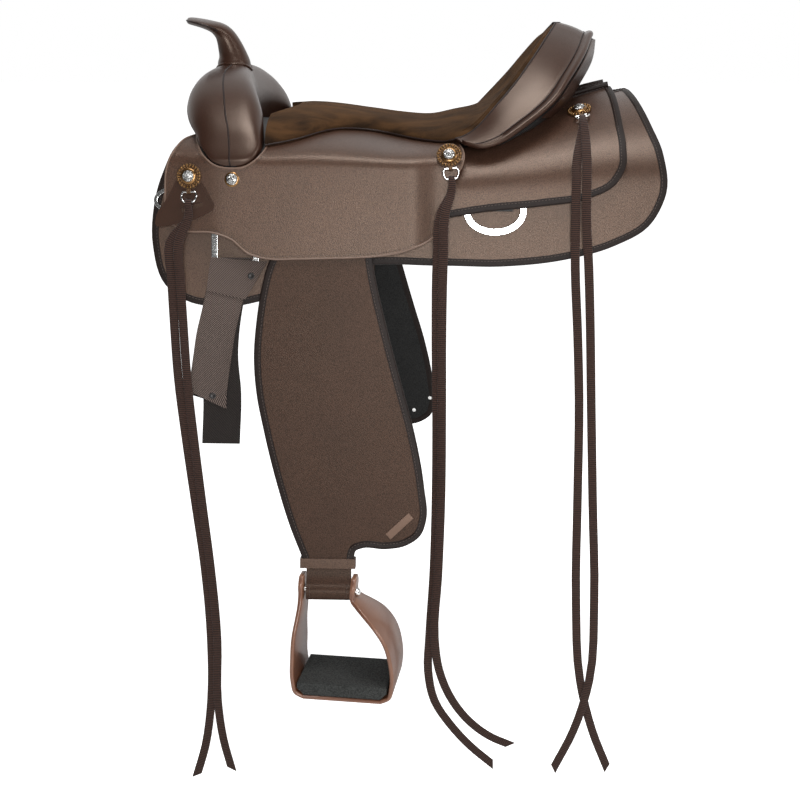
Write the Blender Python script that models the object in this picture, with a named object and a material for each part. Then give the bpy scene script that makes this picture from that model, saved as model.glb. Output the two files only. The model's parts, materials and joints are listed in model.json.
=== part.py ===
"""Western trail saddle with a synthetic leather cover, built as its separate pieces.

Metres, +Z up. X runs along the horse: -X is the horn end, +X the rear.
-Y is the near side and +Y the off side. The origin is the middle of the
horse's back under the seat.
"""
import math
from bisect import bisect_right
from functools import lru_cache

import bmesh
import bpy
import numpy as np
from mathutils import Matrix, Vector

for item in list(bpy.data.objects):
    bpy.data.objects.remove(item)

# Sides: NEAR is the side with the latigo and the saddle strings
NEAR = -1
OFF = 1
SIDES = ((NEAR, "near"), (OFF, "off"))

# Body of the saddle
GAP = 0.0003
HALF_WIDTH = 0.190
SIDE_Z = -0.025
LEAN = math.radians(10)
SKIRT_T = 0.005
FELT_T = 0.008
FELT_INSET = 0.010
JOCKEY_T = 0.0035
REAR_JOCKEY_T = 0.003
JOCKEY_CROWN_Z = 0.012
BAR_END = 0.222
SWELL_COVER_T = 0.003
SEAT_T = 0.016
BOXING_T = 0.0025
WELT_R = 0.004
UNDER_SEAT = 0.015

# Rigging hardware, sandwiched on the flat of the skirts
STRAP_SLACK = 0.0004
LUG_T = 0.0017
FRONT_DEE_T = 0.003
REAR_DEE_T = 0.0026
LATIGO_T = 0.0017
LATIGO_W = 0.050
LATIGO_LOOP_W = 0.0405

# Fenders, stirrup leathers and stirrups
LEATHER_T = 0.0032
LEATHER_W = 0.058
FENDER_T = 0.0035
FENDER_ROOM = 0.0025
SWING_X = -0.0850
SWING_Z = -0.022
HEAD_R = 0.032
FLEX_Z = -0.148
KEEPER_T = 0.0018
KEEPER_TOP = -0.4815
KEEPER_LOW = -0.494
NECK_X = -0.0975
BOLT_Z = -0.524
BOLT_R = 0.004
STIRRUP_T = 0.0055
STIRRUP_TURN = math.radians(6)
EAR_GAP = 0.031
PAD_T = 0.017
PAD_DEPTH = 0.086

# Trim
ROSETTE_R = 0.0162
ROSETTE_T = 0.0025
CONCHO_R = 0.0072
COLLAR_R = 0.0105
CONCHO_POST_R = 0.003
WIRE_R = 0.0012
STRING_W = 0.0115
STRING_T = 0.0015
TAB_T = 0.0025

# Lifts of the layers above the outer face of the skirt
LUG_IN = GAP + 0.0001
DEE_LIFT = LUG_IN + LUG_T + STRAP_SLACK
FRONT_DEE_TOP = DEE_LIFT + FRONT_DEE_T
FRONT_LUG_TOP = FRONT_DEE_TOP + STRAP_SLACK + LUG_T
REAR_DEE_TOP = DEE_LIFT + REAR_DEE_T
REAR_LUG_TOP = REAR_DEE_TOP + GAP + LUG_T
LEATHER_LIFT = FRONT_LUG_TOP + 0.0008
FENDER_LIFT = LEATHER_LIFT + LEATHER_T + STRAP_SLACK
FENDER_TOP = FENDER_LIFT + FENDER_T
JOCKEY_LIFT = FENDER_TOP + FENDER_ROOM + JOCKEY_T
REAR_JOCKEY_LIFT = REAR_LUG_TOP + GAP
REAR_JOCKEY_TOP_LIFT = REAR_JOCKEY_LIFT + REAR_JOCKEY_T
JOCKEY_REAR_LIFT = REAR_JOCKEY_TOP_LIFT + 2 * GAP + JOCKEY_T
JOCKEY_FRONT_LIFT = JOCKEY_LIFT - 0.0065


def along(points):
    """A smooth height that runs through a few chosen points."""
    xs = np.array([point[0] for point in points])
    ys = np.array([point[1] for point in points])
    slopes = np.gradient(ys, xs)

    def value(x):
        x = min(max(x, xs[0]), xs[-1])
        i = min(int(np.searchsorted(xs, x, side="right")) - 1, len(xs) - 2)
        step = xs[i + 1] - xs[i]
        t = (x - xs[i]) / step
        rise = ys[i] * (1 + 2 * t) * (1 - t) ** 2 + ys[i + 1] * t * t * (3 - 2 * t)
        return float(rise + step * (slopes[i] * t * (1 - t) ** 2 - slopes[i + 1] * t * t * (1 - t)))

    return value


def straight(points):
    xs = [point[0] for point in points]
    ys = [point[1] for point in points]
    return lambda x: float(np.interp(x, xs, ys))


def smooth_line(points, steps=3):
    """Points on a smooth line through the given ones, ends included."""
    points = [Vector(point) for point in points]
    spans = [b - a for a, b in zip(points, points[1:])]
    lengths = [span.length for span in spans]
    ways = [span / length for span, length in zip(spans, lengths)]
    slopes = [ways[0]]
    for i in range(1, len(ways)):
        near, far = lengths[i - 1], lengths[i]
        slopes.append((ways[i - 1] * far + ways[i] * near) / (near + far))
    slopes.append(ways[-1])
    line = []
    for i, length in enumerate(lengths):
        for step in range(steps):
            t = step / steps
            rise = points[i] * (1 + 2 * t) * (1 - t) ** 2 + points[i + 1] * t * t * (3 - 2 * t)
            line.append(rise + length * t * (1 - t) * (slopes[i] * (1 - t) - slopes[i + 1] * t))
    line.append(points[-1])
    return line


def outline(*stretches, steps=3):
    """A closed outline: each stretch is smooth, and stretches meet in corners."""
    line = []
    for stretch in stretches:
        if len(stretch) == 2:
            line += [Vector(stretch[0])]
        else:
            line += smooth_line(stretch, steps)[:-1]
    return line


# Lines of the grid that every sheet is folded along, so that layers nest exactly
X_LINES = [-0.335, -0.285, -0.240, -0.190, -0.140, -0.092, -0.050, -0.018, 0.010, 0.036, 0.070, 0.105, 0.150,
           0.200, 0.248, 0.335]
DROP_LINES = [0.0, 0.045, 0.090, 0.125, 0.152, 0.172, 0.187, 0.200, 0.212, 0.230, 0.400]
LAST_FOLD = 9


class Form:
    """The rounded shape that the leathers lie on.

    A cross-section is a quarter ellipse from the ridge that runs into a flat
    side leaning out at LEAN. A place on it is given by x and by the drop, the
    distance down over the surface from the ridge. Between the grid lines it is
    made of flat triangles, with the diagonal of each cell always the same way.
    """

    def __init__(self, ridge, crown_z, lift):
        self.ridge = ridge
        self.crown_z = crown_z
        self.lift = lift

    @lru_cache(maxsize=None)
    def node(self, i, j):
        """Position and outward direction of one crossing of the grid, for the off side."""
        x = X_LINES[i]
        rise = self.ridge(x) - self.crown_z
        reach = HALF_WIDTH + self.lift(x) / math.cos(LEAN) + (SIDE_Z - self.crown_z) * math.tan(LEAN)
        half = math.sqrt(reach ** 2 - (rise * math.tan(LEAN)) ** 2)
        turn = np.linspace(0, math.atan2(half, rise * math.tan(LEAN)), 200)
        steps = np.hypot(np.diff(half * np.sin(turn)), np.diff(rise * np.cos(turn)))
        drops = np.concatenate([[0], np.cumsum(steps)])
        drop = DROP_LINES[j]
        angle = float(np.interp(drop, drops, turn))
        normal = Vector((0, rise * math.sin(angle), half * math.cos(angle))).normalized()
        spot = Vector((x, half * math.sin(angle), self.crown_z + rise * math.cos(angle)))
        beyond = max(0.0, drop - float(drops[-1]))
        return spot + beyond * Vector((0, math.sin(LEAN), -math.cos(LEAN))), normal

    def place(self, x, drop, lift=0.0, side=NEAR):
        i = min(max(bisect_right(X_LINES, x) - 1, 0), len(X_LINES) - 2)
        j = min(max(bisect_right(DROP_LINES, drop) - 1, 0), len(DROP_LINES) - 2)
        u = (x - X_LINES[i]) / (X_LINES[i + 1] - X_LINES[i])
        v = (drop - DROP_LINES[j]) / (DROP_LINES[j + 1] - DROP_LINES[j])
        first, turn = self.node(i, j)
        last, end_turn = self.node(i + 1, j + 1)
        corner, corner_turn = self.node(i + 1, j) if u >= v else self.node(i, j + 1)
        big, small = max(u, v), min(u, v)
        spot = first + big * (corner - first) + small * (last - corner)
        spot += lift * (turn + big * (corner_turn - turn) + small * (end_turn - corner_turn))
        return Vector((spot.x, side * spot.y, spot.z))

    def frame(self, x, drop, lift=0.0, side=NEAR):
        """Local axes on the surface: y up the saddle and z outward."""
        here = self.place(x, drop, lift, side)
        ahead = self.place(x + 0.003, drop, lift, side) - self.place(x - 0.003, drop, lift, side)
        up = self.place(x, drop - 0.003, lift, side) - self.place(x, drop + 0.003, lift, side)
        ahead = ahead.normalized() * -side
        out = ahead.cross(up).normalized()
        turn = Matrix((ahead, out.cross(ahead), out)).transposed().to_4x4()
        return Matrix.Translation(here) @ turn


def no_lift(x):
    return 0.0


jockey_lift = straight([(-0.330, JOCKEY_FRONT_LIFT), (-0.240, JOCKEY_LIFT),
                        (0.010, JOCKEY_LIFT), (0.036, JOCKEY_REAR_LIFT)])
skirt_ridge = along([(-0.33, 0.062), (-0.28, 0.055), (-0.186, 0.042), (-0.05, 0.034), (0.02, 0.034),
                     (0.10, 0.050), (0.20, 0.075), (0.269, 0.092), (0.32, 0.100)])
seat_ridge = along([(-0.33, 0.068), (-0.25, 0.062), (-0.186, 0.055), (-0.12, 0.058), (-0.06, 0.051),
                    (-0.018, 0.0445), (0.025, 0.0455), (0.06, 0.0540), (0.10, 0.0660)])
skirt_form = Form(skirt_ridge, SIDE_Z, no_lift)
jockey_form = Form(seat_ridge, JOCKEY_CROWN_Z, jockey_lift)


def flat(x, z, lift, side=NEAR):
    """A point over the flat side of the skirts, by its height and its lift from the skirt."""
    return Vector((x, side * (HALF_WIDTH + (SIDE_Z - z) * math.tan(LEAN) + lift / math.cos(LEAN)), z))


def finish_mesh(name, shape, material, pivot=None, parent=None, sharp=40):
    """Turn a bmesh into a named object with its faces out, its origin on the pivot."""
    bmesh.ops.remove_doubles(shape, verts=shape.verts, dist=0.000005)
    bmesh.ops.recalc_face_normals(shape, faces=shape.faces)
    place = Vector(pivot) if pivot is not None else Vector((0, 0, 0))
    bmesh.ops.translate(shape, vec=-place, verts=shape.verts)
    mesh = bpy.data.meshes.new(name)
    shape.to_mesh(mesh)
    shape.free()
    mesh.shade_smooth()
    mesh.set_sharp_from_angle(angle=math.radians(sharp))
    thing = bpy.data.objects.new(name, mesh)
    bpy.context.collection.objects.link(thing)
    if material is not None:
        mesh.materials.append(material)
    if parent is not None:
        thing.parent = parent
        thing.location = place - parent_place(parent)
    else:
        thing.location = place
    return thing


def parent_place(thing):
    place = Vector(thing.location)
    while thing.parent is not None:
        thing = thing.parent
        place += Vector(thing.location)
    return place


def pivot_empty(name, place, parent=None):
    """An empty on a joint's axis, which carries the pieces that move together."""
    empty = bpy.data.objects.new(name, None)
    bpy.context.collection.objects.link(empty)
    empty.location = Vector(place) - (parent_place(parent) if parent else Vector((0, 0, 0)))
    empty.parent = parent
    return empty


def fold_lines(shape, last_drop=LAST_FOLD):
    """Cut a flat shape in x and drop along the grid and the diagonals of its cells."""
    def cut(spot, way, geometry):
        bmesh.ops.bisect_plane(shape, geom=geometry, dist=0.00005, plane_co=spot, plane_no=way)

    for x in X_LINES:
        cut((x, 0, 0), (1, 0, 0), shape.verts[:] + shape.edges[:] + shape.faces[:])
    for drop in DROP_LINES[:last_drop + 1]:
        for sign in (1, -1):
            cut((0, sign * drop, 0), (0, 1, 0), shape.verts[:] + shape.edges[:] + shape.faces[:])
    for face in shape.faces[:]:
        middle = face.calc_center_median()
        i = min(max(bisect_right(X_LINES, middle.x) - 1, 0), len(X_LINES) - 2)
        j = bisect_right(DROP_LINES, abs(middle.y)) - 1
        if j < last_drop:
            sign = 1 if middle.y > 0 else -1
            width = X_LINES[i + 1] - X_LINES[i]
            fall = sign * (DROP_LINES[j + 1] - DROP_LINES[j])
            cut((X_LINES[i], sign * DROP_LINES[j], 0), (-fall, width, 0), [face] + face.edges[:] + face.verts[:])


def panel(rim, low, high, place, folded=False, holes=()):
    """A closed sheet between two lifts, cut from a flat outline and laid by place(a, b, lift)."""
    flat_shape = bmesh.new()
    loops = []
    for loop in (rim, *holes):
        verts = [flat_shape.verts.new((point[0], point[1], 0)) for point in loop]
        loops.append(verts)
    if holes:
        edges = []
        for verts in loops:
            edges += [flat_shape.edges.new((verts[i - 1], verts[i])) for i in range(len(verts))]
        bmesh.ops.triangle_fill(flat_shape, use_beauty=True, edges=edges)
    else:
        flat_shape.faces.new(loops[0])
    if folded:
        fold_lines(flat_shape)
    bmesh.ops.triangulate(flat_shape, faces=flat_shape.faces[:])
    flat_shape.verts.index_update()
    shape = bmesh.new()
    lower = []
    upper = []
    for vert in flat_shape.verts:
        a, b = vert.co.x, vert.co.y
        under = low(a, b) if callable(low) else low
        over = high(a, b) if callable(high) else high
        lower.append(shape.verts.new(place(a, b, under)))
        upper.append(shape.verts.new(place(a, b, over)))
    for face in flat_shape.faces:
        index = [vert.index for vert in face.verts]
        shape.faces.new([upper[i] for i in index])
        shape.faces.new([lower[i] for i in reversed(index)])
    for edge in flat_shape.edges:
        if len(edge.link_faces) == 1:
            a, b = (vert.index for vert in edge.verts)
            shape.faces.new((lower[a], lower[b], upper[b], upper[a]))
    flat_shape.free()
    return shape


def loft(rings, capped=True, closed=False):
    """A skin over rings of the same number of points."""
    shape = bmesh.new()
    rows = [[shape.verts.new(point) for point in ring] for ring in rings]
    count = len(rows[0])
    spans = list(zip(rows, rows[1:])) + ([(rows[-1], rows[0])] if closed else [])
    for first, second in spans:
        for i in range(count):
            j = (i + 1) % count
            shape.faces.new((first[i], first[j], second[j], second[i]))
    if capped and not closed:
        shape.faces.new(list(reversed(rows[0])))
        shape.faces.new(rows[-1])
    return shape


def lathe(profile, frame, segments=14):
    """Turn a profile of (radius, height) about the frame's z axis; both ends lie on the axis."""
    shape = bmesh.new()
    rows = []
    for radius, height in profile:
        if radius == 0:
            rows.append([shape.verts.new(frame @ Vector((0, 0, height)))])
        else:
            turns = [2 * math.pi * k / segments for k in range(segments)]
            rows.append([shape.verts.new(frame @ Vector((radius * math.cos(turn), radius * math.sin(turn), height)))
                         for turn in turns])
    for first, second in zip(rows, rows[1:]):
        for k in range(segments):
            n = (k + 1) % segments
            if len(first) == 1:
                shape.faces.new((first[0], second[k], second[n]))
            elif len(second) == 1:
                shape.faces.new((first[k], second[0], first[n]))
            else:
                shape.faces.new((first[k], second[k], second[n], first[n]))
    return shape


def tube(points, radius, sides=6, closed=False):
    """A round wire along points, with its frame carried along."""
    points = [Vector(point) for point in points]
    count = len(points)
    rings = []
    across = None
    for i, point in enumerate(points):
        if closed:
            ahead = points[(i + 1) % count] - points[i - 1]
        else:
            ahead = points[min(i + 1, count - 1)] - points[max(i - 1, 0)]
        ahead.normalize()
        if across is None:
            across = ahead.orthogonal().normalized()
        across = (across - ahead * across.dot(ahead)).normalized()
        other = ahead.cross(across)
        rings.append([point + radius * (math.cos(2 * math.pi * k / sides) * across
                                        + math.sin(2 * math.pi * k / sides) * other) for k in range(sides)])
    return loft(rings, capped=True, closed=closed)


def strap(points, faces, width, thickness, slants=(0, 0), sway=None):
    """A flat strap along points; faces are its outward directions, slants its cut ends.

    sway says for each point how far the strap turns with a sideways run (0 keeps it level).
    """
    rings = []
    last = len(points) - 1
    for i, (point, out) in enumerate(zip(points, faces)):
        ahead = points[min(i + 1, last)] - points[max(i - 1, 0)]
        ahead.x *= sway[i] if sway else 0
        ahead.normalize()
        out = (out - ahead * out.dot(ahead)).normalized()
        wide = width[i] if isinstance(width, list) else width
        across = ahead.cross(out).normalized() * wide / 2
        lean = ahead * (slants[0] if i == 0 else slants[1] if i == last else 0)
        out = out * thickness / 2
        rings.append([point - across - out - lean, point + across - out + lean,
                      point + across + out + lean, point - across + out - lean])
    return loft(rings)


def cutter(name, shape):
    """A helper solid for a Boolean, kept out of the render."""
    thing = finish_mesh(name, shape, None)
    thing.hide_render = True
    thing.display_type = "WIRE"
    return thing


def boolean(thing, tool, operation):
    change = thing.modifiers.new(operation.lower() + "_" + tool.name, "BOOLEAN")
    change.operation = operation
    change.solver = "EXACT"
    change.object = tool


def paint(name, colour, roughness, metallic=0.0):
    material = bpy.data.materials.new(name)
    material.use_nodes = True
    shader = material.node_tree.nodes["Principled BSDF"]
    shader.inputs["Base Color"].default_value = (*colour, 1)
    shader.inputs["Roughness"].default_value = roughness
    shader.inputs["Metallic"].default_value = metallic
    material.diffuse_color = (*colour, 1)
    return material


leather_brown = paint("grained_brown", (0.135, 0.100, 0.080), 0.62)
smooth_brown = paint("smooth_brown", (0.085, 0.060, 0.050), 0.42)
suede_brown = paint("suede", (0.150, 0.085, 0.035), 0.95)
felt_black = paint("felt", (0.035, 0.032, 0.030), 1.0)
tree_black = paint("moulded_tree", (0.030, 0.030, 0.030), 0.55)
webbing_dark = paint("latigo_webbing", (0.045, 0.034, 0.028), 0.75)
lace_brown = paint("string_webbing", (0.130, 0.055, 0.035), 0.80)
steel = paint("bright_steel", (0.80, 0.80, 0.78), 0.18, 1.0)
gilt = paint("gilt_leather", (0.300, 0.170, 0.070), 0.40, 0.4)
copper = paint("copper_brown", (0.250, 0.105, 0.055), 0.30, 0.2)
rubber = paint("tread_foam", (0.018, 0.018, 0.018), 0.85)


# Outlines of the leathers, as x and drop over the form, in order round the piece
SKIRT_FRONT = [(-0.262, 0.032), (-0.275, 0.070), (-0.281, 0.110), (-0.299, 0.142), (-0.311, 0.193),
               (-0.322, 0.235), (-0.325, 0.290), (-0.309, 0.340), (-0.283, 0.357), (-0.240, 0.361),
               (-0.180, 0.347), (-0.100, 0.308), (-0.031, 0.297), (0.042, 0.300), (0.118, 0.310),
               (0.206, 0.313), (0.260, 0.306), (0.303, 0.286), (0.324, 0.247), (0.320, 0.196),
               (0.309, 0.154), (0.2975, 0.090), (0.293, 0.050), (0.290, 0.004)]
SKIRT_SPINE = [(0.290, 0.004), (0.268, 0.014), (0.240, 0.026), (0.190, 0.032), (-0.020, 0.034),
               (-0.262, 0.032)]
REAR_JOCKEY_RIM = [(0.201, 0.036), (0.265, 0.028), (0.267, 0.080), (0.270, 0.150), (0.273, 0.189),
                   (0.272, 0.211), (0.258, 0.231), (0.229, 0.241), (0.170, 0.242), (0.104, 0.239),
                   (0.020, 0.243)]
REAR_JOCKEY_TOP = [(0.020, 0.165), (0.060, 0.152), (0.110, 0.128), (0.150, 0.098), (0.180, 0.067),
                   (0.201, 0.036)]
U_CUT = [(-0.272, 0.155), (-0.266, 0.182), (-0.256, 0.206), (-0.241, 0.219), (-0.222, 0.2215),
         (-0.203, 0.218), (-0.188, 0.206), (-0.181, 0.190), (-0.179, 0.170)]
SEAT_SEAM = [(-0.186, 0.187), (-0.138, 0.166), (-0.085, 0.112), (-0.033, 0.102), (0.014, 0.136),
             (0.046, 0.157), (0.060, 0.162)]
JOCKEY_EDGE = [(0.0655, 0.170), (0.0700, 0.186), (0.0712, 0.200), (0.0680, 0.213), (0.0600, 0.224),
               (0.0550, 0.238), (0.0520, 0.262), (0.038, 0.292), (0.012, 0.313),
               (-0.030, 0.325), (-0.084, 0.332), (-0.140, 0.335), (-0.180, 0.333), (-0.201, 0.327),
               (-0.222, 0.311), (-0.245, 0.304), (-0.284, 0.300), (-0.302, 0.287), (-0.306, 0.250),
               (-0.304, 0.222), (-0.295, 0.196), (-0.284, 0.168), (-0.272, 0.155)]


def inset(points, distance):
    """The same outline drawn in by a distance."""
    count = len(points)
    drawn = []
    area = sum(points[i - 1][0] * points[i][1] - points[i][0] * points[i - 1][1] for i in range(count))
    turn = 1 if area > 0 else -1
    for i in range(count):
        before = (Vector(points[i]) - Vector(points[i - 1])).normalized()
        after = (Vector(points[(i + 1) % count]) - Vector(points[i])).normalized()
        side = Vector((-(before + after)[1], (before + after)[0])) * turn
        side.normalize()
        bend = max(0.5, abs(side.dot(Vector((-after[1], after[0])))))
        drawn.append(Vector(points[i]) + side * distance / bend)
    return drawn


def on_skirt(side):
    return lambda x, drop, lift: skirt_form.place(x, drop, lift, side)


def on_jockey(side):
    return lambda x, drop, lift: jockey_form.place(x, drop, lift, side)


def on_flat(side):
    return lambda x, z, lift: flat(x, z, lift, side)


def make_skirts():
    """Each skirt and the felt sewn under it, open along the spine."""
    rim = outline(SKIRT_FRONT, SKIRT_SPINE, steps=2)
    inner = inset(SKIRT_FRONT + SKIRT_SPINE[1:-1], FELT_INSET)
    last = len(SKIRT_FRONT)
    felt_rim = outline(inner[:last], inner[last - 1:] + inner[:1], steps=1)
    for side, word in SIDES:
        shape = panel(rim, -SKIRT_T, 0.0, on_skirt(side), True)
        finish_mesh("skirt_" + word, shape, leather_brown)
        felt_top = -SKIRT_T - GAP
        shape = panel(felt_rim, felt_top - FELT_T, felt_top, on_skirt(side), True)
        finish_mesh("skirt_felt_" + word, shape, felt_black)


def make_rear_jockeys():
    rim = outline(REAR_JOCKEY_RIM[:2], REAR_JOCKEY_RIM[1:], REAR_JOCKEY_RIM[-1:] + REAR_JOCKEY_TOP[:1],
                  REAR_JOCKEY_TOP, steps=2)
    for side, word in SIDES:
        shape = panel(rim, REAR_JOCKEY_LIFT, REAR_JOCKEY_TOP_LIFT, on_skirt(side), True)
        finish_mesh("rear_jockey_" + word, shape, leather_brown)


def seat_jockey_rim():
    tucked = [(x, drop - UNDER_SEAT) for x, drop in SEAT_SEAM]
    rim = outline(U_CUT, [(-0.179, 0.170), (-0.179, tucked[0][1] - 0.002)],
                  [(-0.179, tucked[0][1] - 0.002)] + tucked[1:] + [JOCKEY_EDGE[0]], JOCKEY_EDGE, steps=2)
    return rim


def make_seat_jockeys():
    for side, word in SIDES:
        shape = panel(seat_jockey_rim(), -JOCKEY_T, 0.0, on_jockey(side), True)
        finish_mesh("seat_jockey_" + word, shape, leather_brown)


# Swell: stations out from the middle, as the drop of its foot on the form, the crest (y, z),
# then front and rear ends in x of the foot and of the bulge over it
SWELL = [(0.000, 0.000, 0.1280, -0.2755, -0.2155, -0.2765, -0.2140),
         (0.045, 0.045, 0.1265, -0.2770, -0.2130, -0.2800, -0.2085),
         (0.085, 0.086, 0.1205, -0.2770, -0.2070, -0.2880, -0.2010),
         (0.115, 0.118, 0.1100, -0.2740, -0.1990, -0.2910, -0.1930),
         (0.140, 0.147, 0.0935, -0.2710, -0.1900, -0.2870, -0.1865),
         (0.160, 0.171, 0.0715, -0.2690, -0.1845, -0.2790, -0.1845),
         (0.178, 0.1850, 0.0545, -0.2650, -0.1845, -0.2695, -0.1840),
         (0.192, 0.1950, 0.0385, -0.2600, -0.1855, -0.2645, -0.1845),
         (0.204, 0.2020, 0.0268, -0.2540, -0.1905, -0.2570, -0.1895),
         (0.212, 0.2058, 0.0192, -0.2480, -0.1965, -0.2500, -0.1965),
         (0.2175, 0.2060, 0.0133, -0.2395, -0.2050, -0.2400, -0.2050)]
SWELL_ROUND = 0.58
SWELL_STEPS = 11
SWELL_SINK = 0.0028


def swell_rows(shrink, stations=len(SWELL)):
    """Rows of points over the swell, drawn in by shrink, from one tongue to the other."""
    rows = []
    for side in (NEAR, OFF):
        half_rows = []
        for drop, crest_y, crest_z, front, rear, front_bulge, rear_bulge in SWELL[:stations]:
            middle = (front + rear) / 2
            drawn = drop * (1 - 0.6 * shrink / 0.2)
            foot_mid = jockey_form.place(middle, drawn, -SWELL_SINK, side)
            crest = Vector((middle, side * crest_y, crest_z))
            way = crest - foot_mid
            crest -= way.normalized() * min(shrink, way.length * 0.5)
            row = []
            upright = (SWELL_SINK + 0.0008) / max(way.length - shrink, 0.004)
            turns = [math.pi * step / SWELL_STEPS for step in range(SWELL_STEPS + 1)]
            rises = [(0.0, 1.0)] + [(min(upright, 0.4), 1.0)]
            rises += [(math.sin(turn) ** SWELL_ROUND, math.cos(turn)) for turn in turns[1:-1]]
            rises += [(min(upright, 0.4), -1.0), (0.0, -1.0)]
            for rise, cosine in rises:
                reach = math.copysign(abs(cosine) ** SWELL_ROUND, cosine)
                grown = min(1.0, max(0.0, rise - upright) / 0.4)
                ahead = front + (front_bulge - front) * grown + min(shrink, 0.012)
                behind = rear + (rear_bulge - rear) * grown - min(shrink, 0.012)
                x = (ahead + behind) / 2 - (behind - ahead) / 2 * reach
                base = jockey_form.place(x, drawn, -SWELL_SINK, side)
                row.append(Vector((x, base.y + (crest.y - base.y) * rise, base.z + (crest.z - base.z) * rise)))
            half_rows.append(row)
        rows = list(reversed(half_rows)) + rows[1:] if side == OFF else half_rows
    return rows


def grid_shell(top, bottom):
    """A closed solid between two grids of the same size."""
    shape = bmesh.new()
    high = [[shape.verts.new(point) for point in row] for row in top]
    low = [[shape.verts.new(point) for point in row] for row in bottom]
    for grid, turn in ((high, 1), (low, -1)):
        for r in range(len(grid) - 1):
            for c in range(len(grid[0]) - 1):
                start, end = grid[r][c], grid[r + 1][c + 1]
                shape.faces.new((start, grid[r][c + 1], end)[::turn])
                shape.faces.new((start, end, grid[r + 1][c])[::turn])
    rows, columns = len(top), len(top[0])
    border = [(r, 0) for r in range(rows)] + [(rows - 1, c) for c in range(1, columns)]
    border += [(r, columns - 1) for r in range(rows - 2, -1, -1)] + [(0, c) for c in range(columns - 2, 0, -1)]
    for (r1, c1), (r2, c2) in zip(border, border[1:] + border[:1]):
        shape.faces.new((high[r1][c1], high[r2][c2], low[r2][c2], low[r1][c1]))
    return shape


def swell_solid(shrink, sink, stations=len(SWELL)):
    top = swell_rows(shrink, stations)
    bottom = []
    for row in top:
        first, last = row[0], row[-1]
        count = len(row) - 1
        bottom.append([first.lerp(last, step / count) - Vector((0, 0, sink)) for step in range(count + 1)])
    return grid_shell(top, bottom)


# Cantle: stations up the rim, as rim (x, y, z), middle of the dish (x, z) and welt (x, y, z)
CANTLE = [((0.060, 0.167, 0.0400), (0.062, 0.0550), (0.074, 0.1830, 0.0330)),
          ((0.070, 0.165, 0.0430), (0.083, 0.0590), (0.093, 0.1870, 0.0290)),
          ((0.085, 0.161, 0.0520), (0.107, 0.0670), (0.115, 0.1860, 0.0340)),
          ((0.110, 0.150, 0.0790), (0.136, 0.0860), (0.148, 0.1740, 0.0540)),
          ((0.135, 0.131, 0.1070), (0.158, 0.1120), (0.184, 0.1550, 0.0820)),
          ((0.158, 0.102, 0.1370), (0.177, 0.1410), (0.208, 0.1230, 0.1130)),
          ((0.177, 0.064, 0.1630), (0.190, 0.1640), (0.228, 0.0770, 0.1410)),
          ((0.190, 0.026, 0.1800), (0.197, 0.1800), (0.239, 0.0320, 0.1605))]
DISH_HOLLOW = 2.4
ACROSS = [-1.0, -0.93, -0.80, -0.62, -0.40, -0.18, 0.0, 0.18, 0.40, 0.62, 0.80, 0.93, 1.0]
SEAT_X = [-0.1805, -0.162, -0.140, -0.116, -0.092, -0.071, -0.050, -0.034, -0.018, -0.004, 0.010, 0.023, 0.036,
          0.048]
HANDHOLD = 0.028
SEAT_CLEAR = 0.0008
SEAT_ARCH = 0.0010
seat_seam = along([(x, drop) for x, drop in SEAT_SEAM])


def dish_rows():
    """Rows of the face that the seat lies on: the jockeys first, then up the cantle."""
    rows = []
    for index, seat_x in enumerate(SEAT_X):
        fade = max(0.0, 1 - index / 4)
        row = []
        for q in ACROSS:
            x = seat_x + fade * HANDHOLD * max(0.0, 1 - (q / 0.62) ** 2)
            side = NEAR if q < 0 else OFF
            clear = SEAT_CLEAR + SEAT_ARCH * (1 - abs(q) ** 6)
            row.append(jockey_form.place(x, abs(q) * seat_seam(x), clear, side))
        rows.append(row)
    for rim, middle, _ in CANTLE:
        row = []
        for q in ACROSS:
            rise = abs(q) ** DISH_HOLLOW
            row.append(Vector((middle[0] + (rim[0] - middle[0]) * rise, rim[1] * q,
                               middle[1] + (rim[2] - middle[1]) * rise)))
        rows.append(row)
    return rows


def row_normals(rows):
    normals = []
    for r, row in enumerate(rows):
        line = []
        for c in range(len(row)):
            ahead = rows[min(r + 1, len(rows) - 1)][c] - rows[max(r - 1, 0)][c]
            across = row[min(c + 1, len(row) - 1)] - row[max(c - 1, 0)]
            line.append(ahead.cross(across).normalized())
        normals.append(line)
    return normals


# How full the seat is along its length, as a share of its thickness
seat_fullness = along([(-0.19, 1.47), (-0.13, 1.03), (-0.07, 0.95), (-0.02, 1.0), (0.03, 0.78), (0.08, 0.75),
                       (0.20, 0.78)])


def make_seat():
    """The suede seat: one padded cover over the seat and up the front of the cantle."""
    rows = dish_rows()
    normals = row_normals(rows)
    top = []
    for r, row in enumerate(rows):
        ends = 0.9 if r == 0 else 0.45 if r == len(rows) - 1 else 1.0
        line = []
        for c, q in enumerate(ACROSS):
            crown = (1 - abs(q) ** 8) ** 0.5 if abs(q) < 1 else 0.0
            lift = SEAT_T * seat_fullness(row[c].x) * (0.22 + 0.78 * crown) * ends
            line.append(row[c] + normals[r][c] * lift)
        top.append(line)
    finish_mesh("seat_cushion", grid_shell(top, rows), suede_brown, sharp=60)


def rim_stations():
    """Places round the cantle's edge from the near wing over the top to the off wing."""
    wing = [(Vector(rim), Vector(welt)) for rim, _, welt in CANTLE[:-1]]
    rim, middle, welt = CANTLE[-1]
    crest = []
    for q in ACROSS:
        bow = 1 - q * q
        crest.append((Vector((middle[0] + (rim[0] - middle[0]) * abs(q) ** DISH_HOLLOW, rim[1] * q,
                              middle[1] + (rim[2] - middle[1]) * abs(q) ** DISH_HOLLOW)),
                      Vector((welt[0] + 0.003 * bow, welt[1] * q, welt[2] + 0.002 * bow))))
    near = [(Vector((r.x, NEAR * r.y, r.z)), Vector((w.x, NEAR * w.y, w.z))) for r, w in wing]
    return near + crest[::2] + list(reversed(wing))


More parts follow.
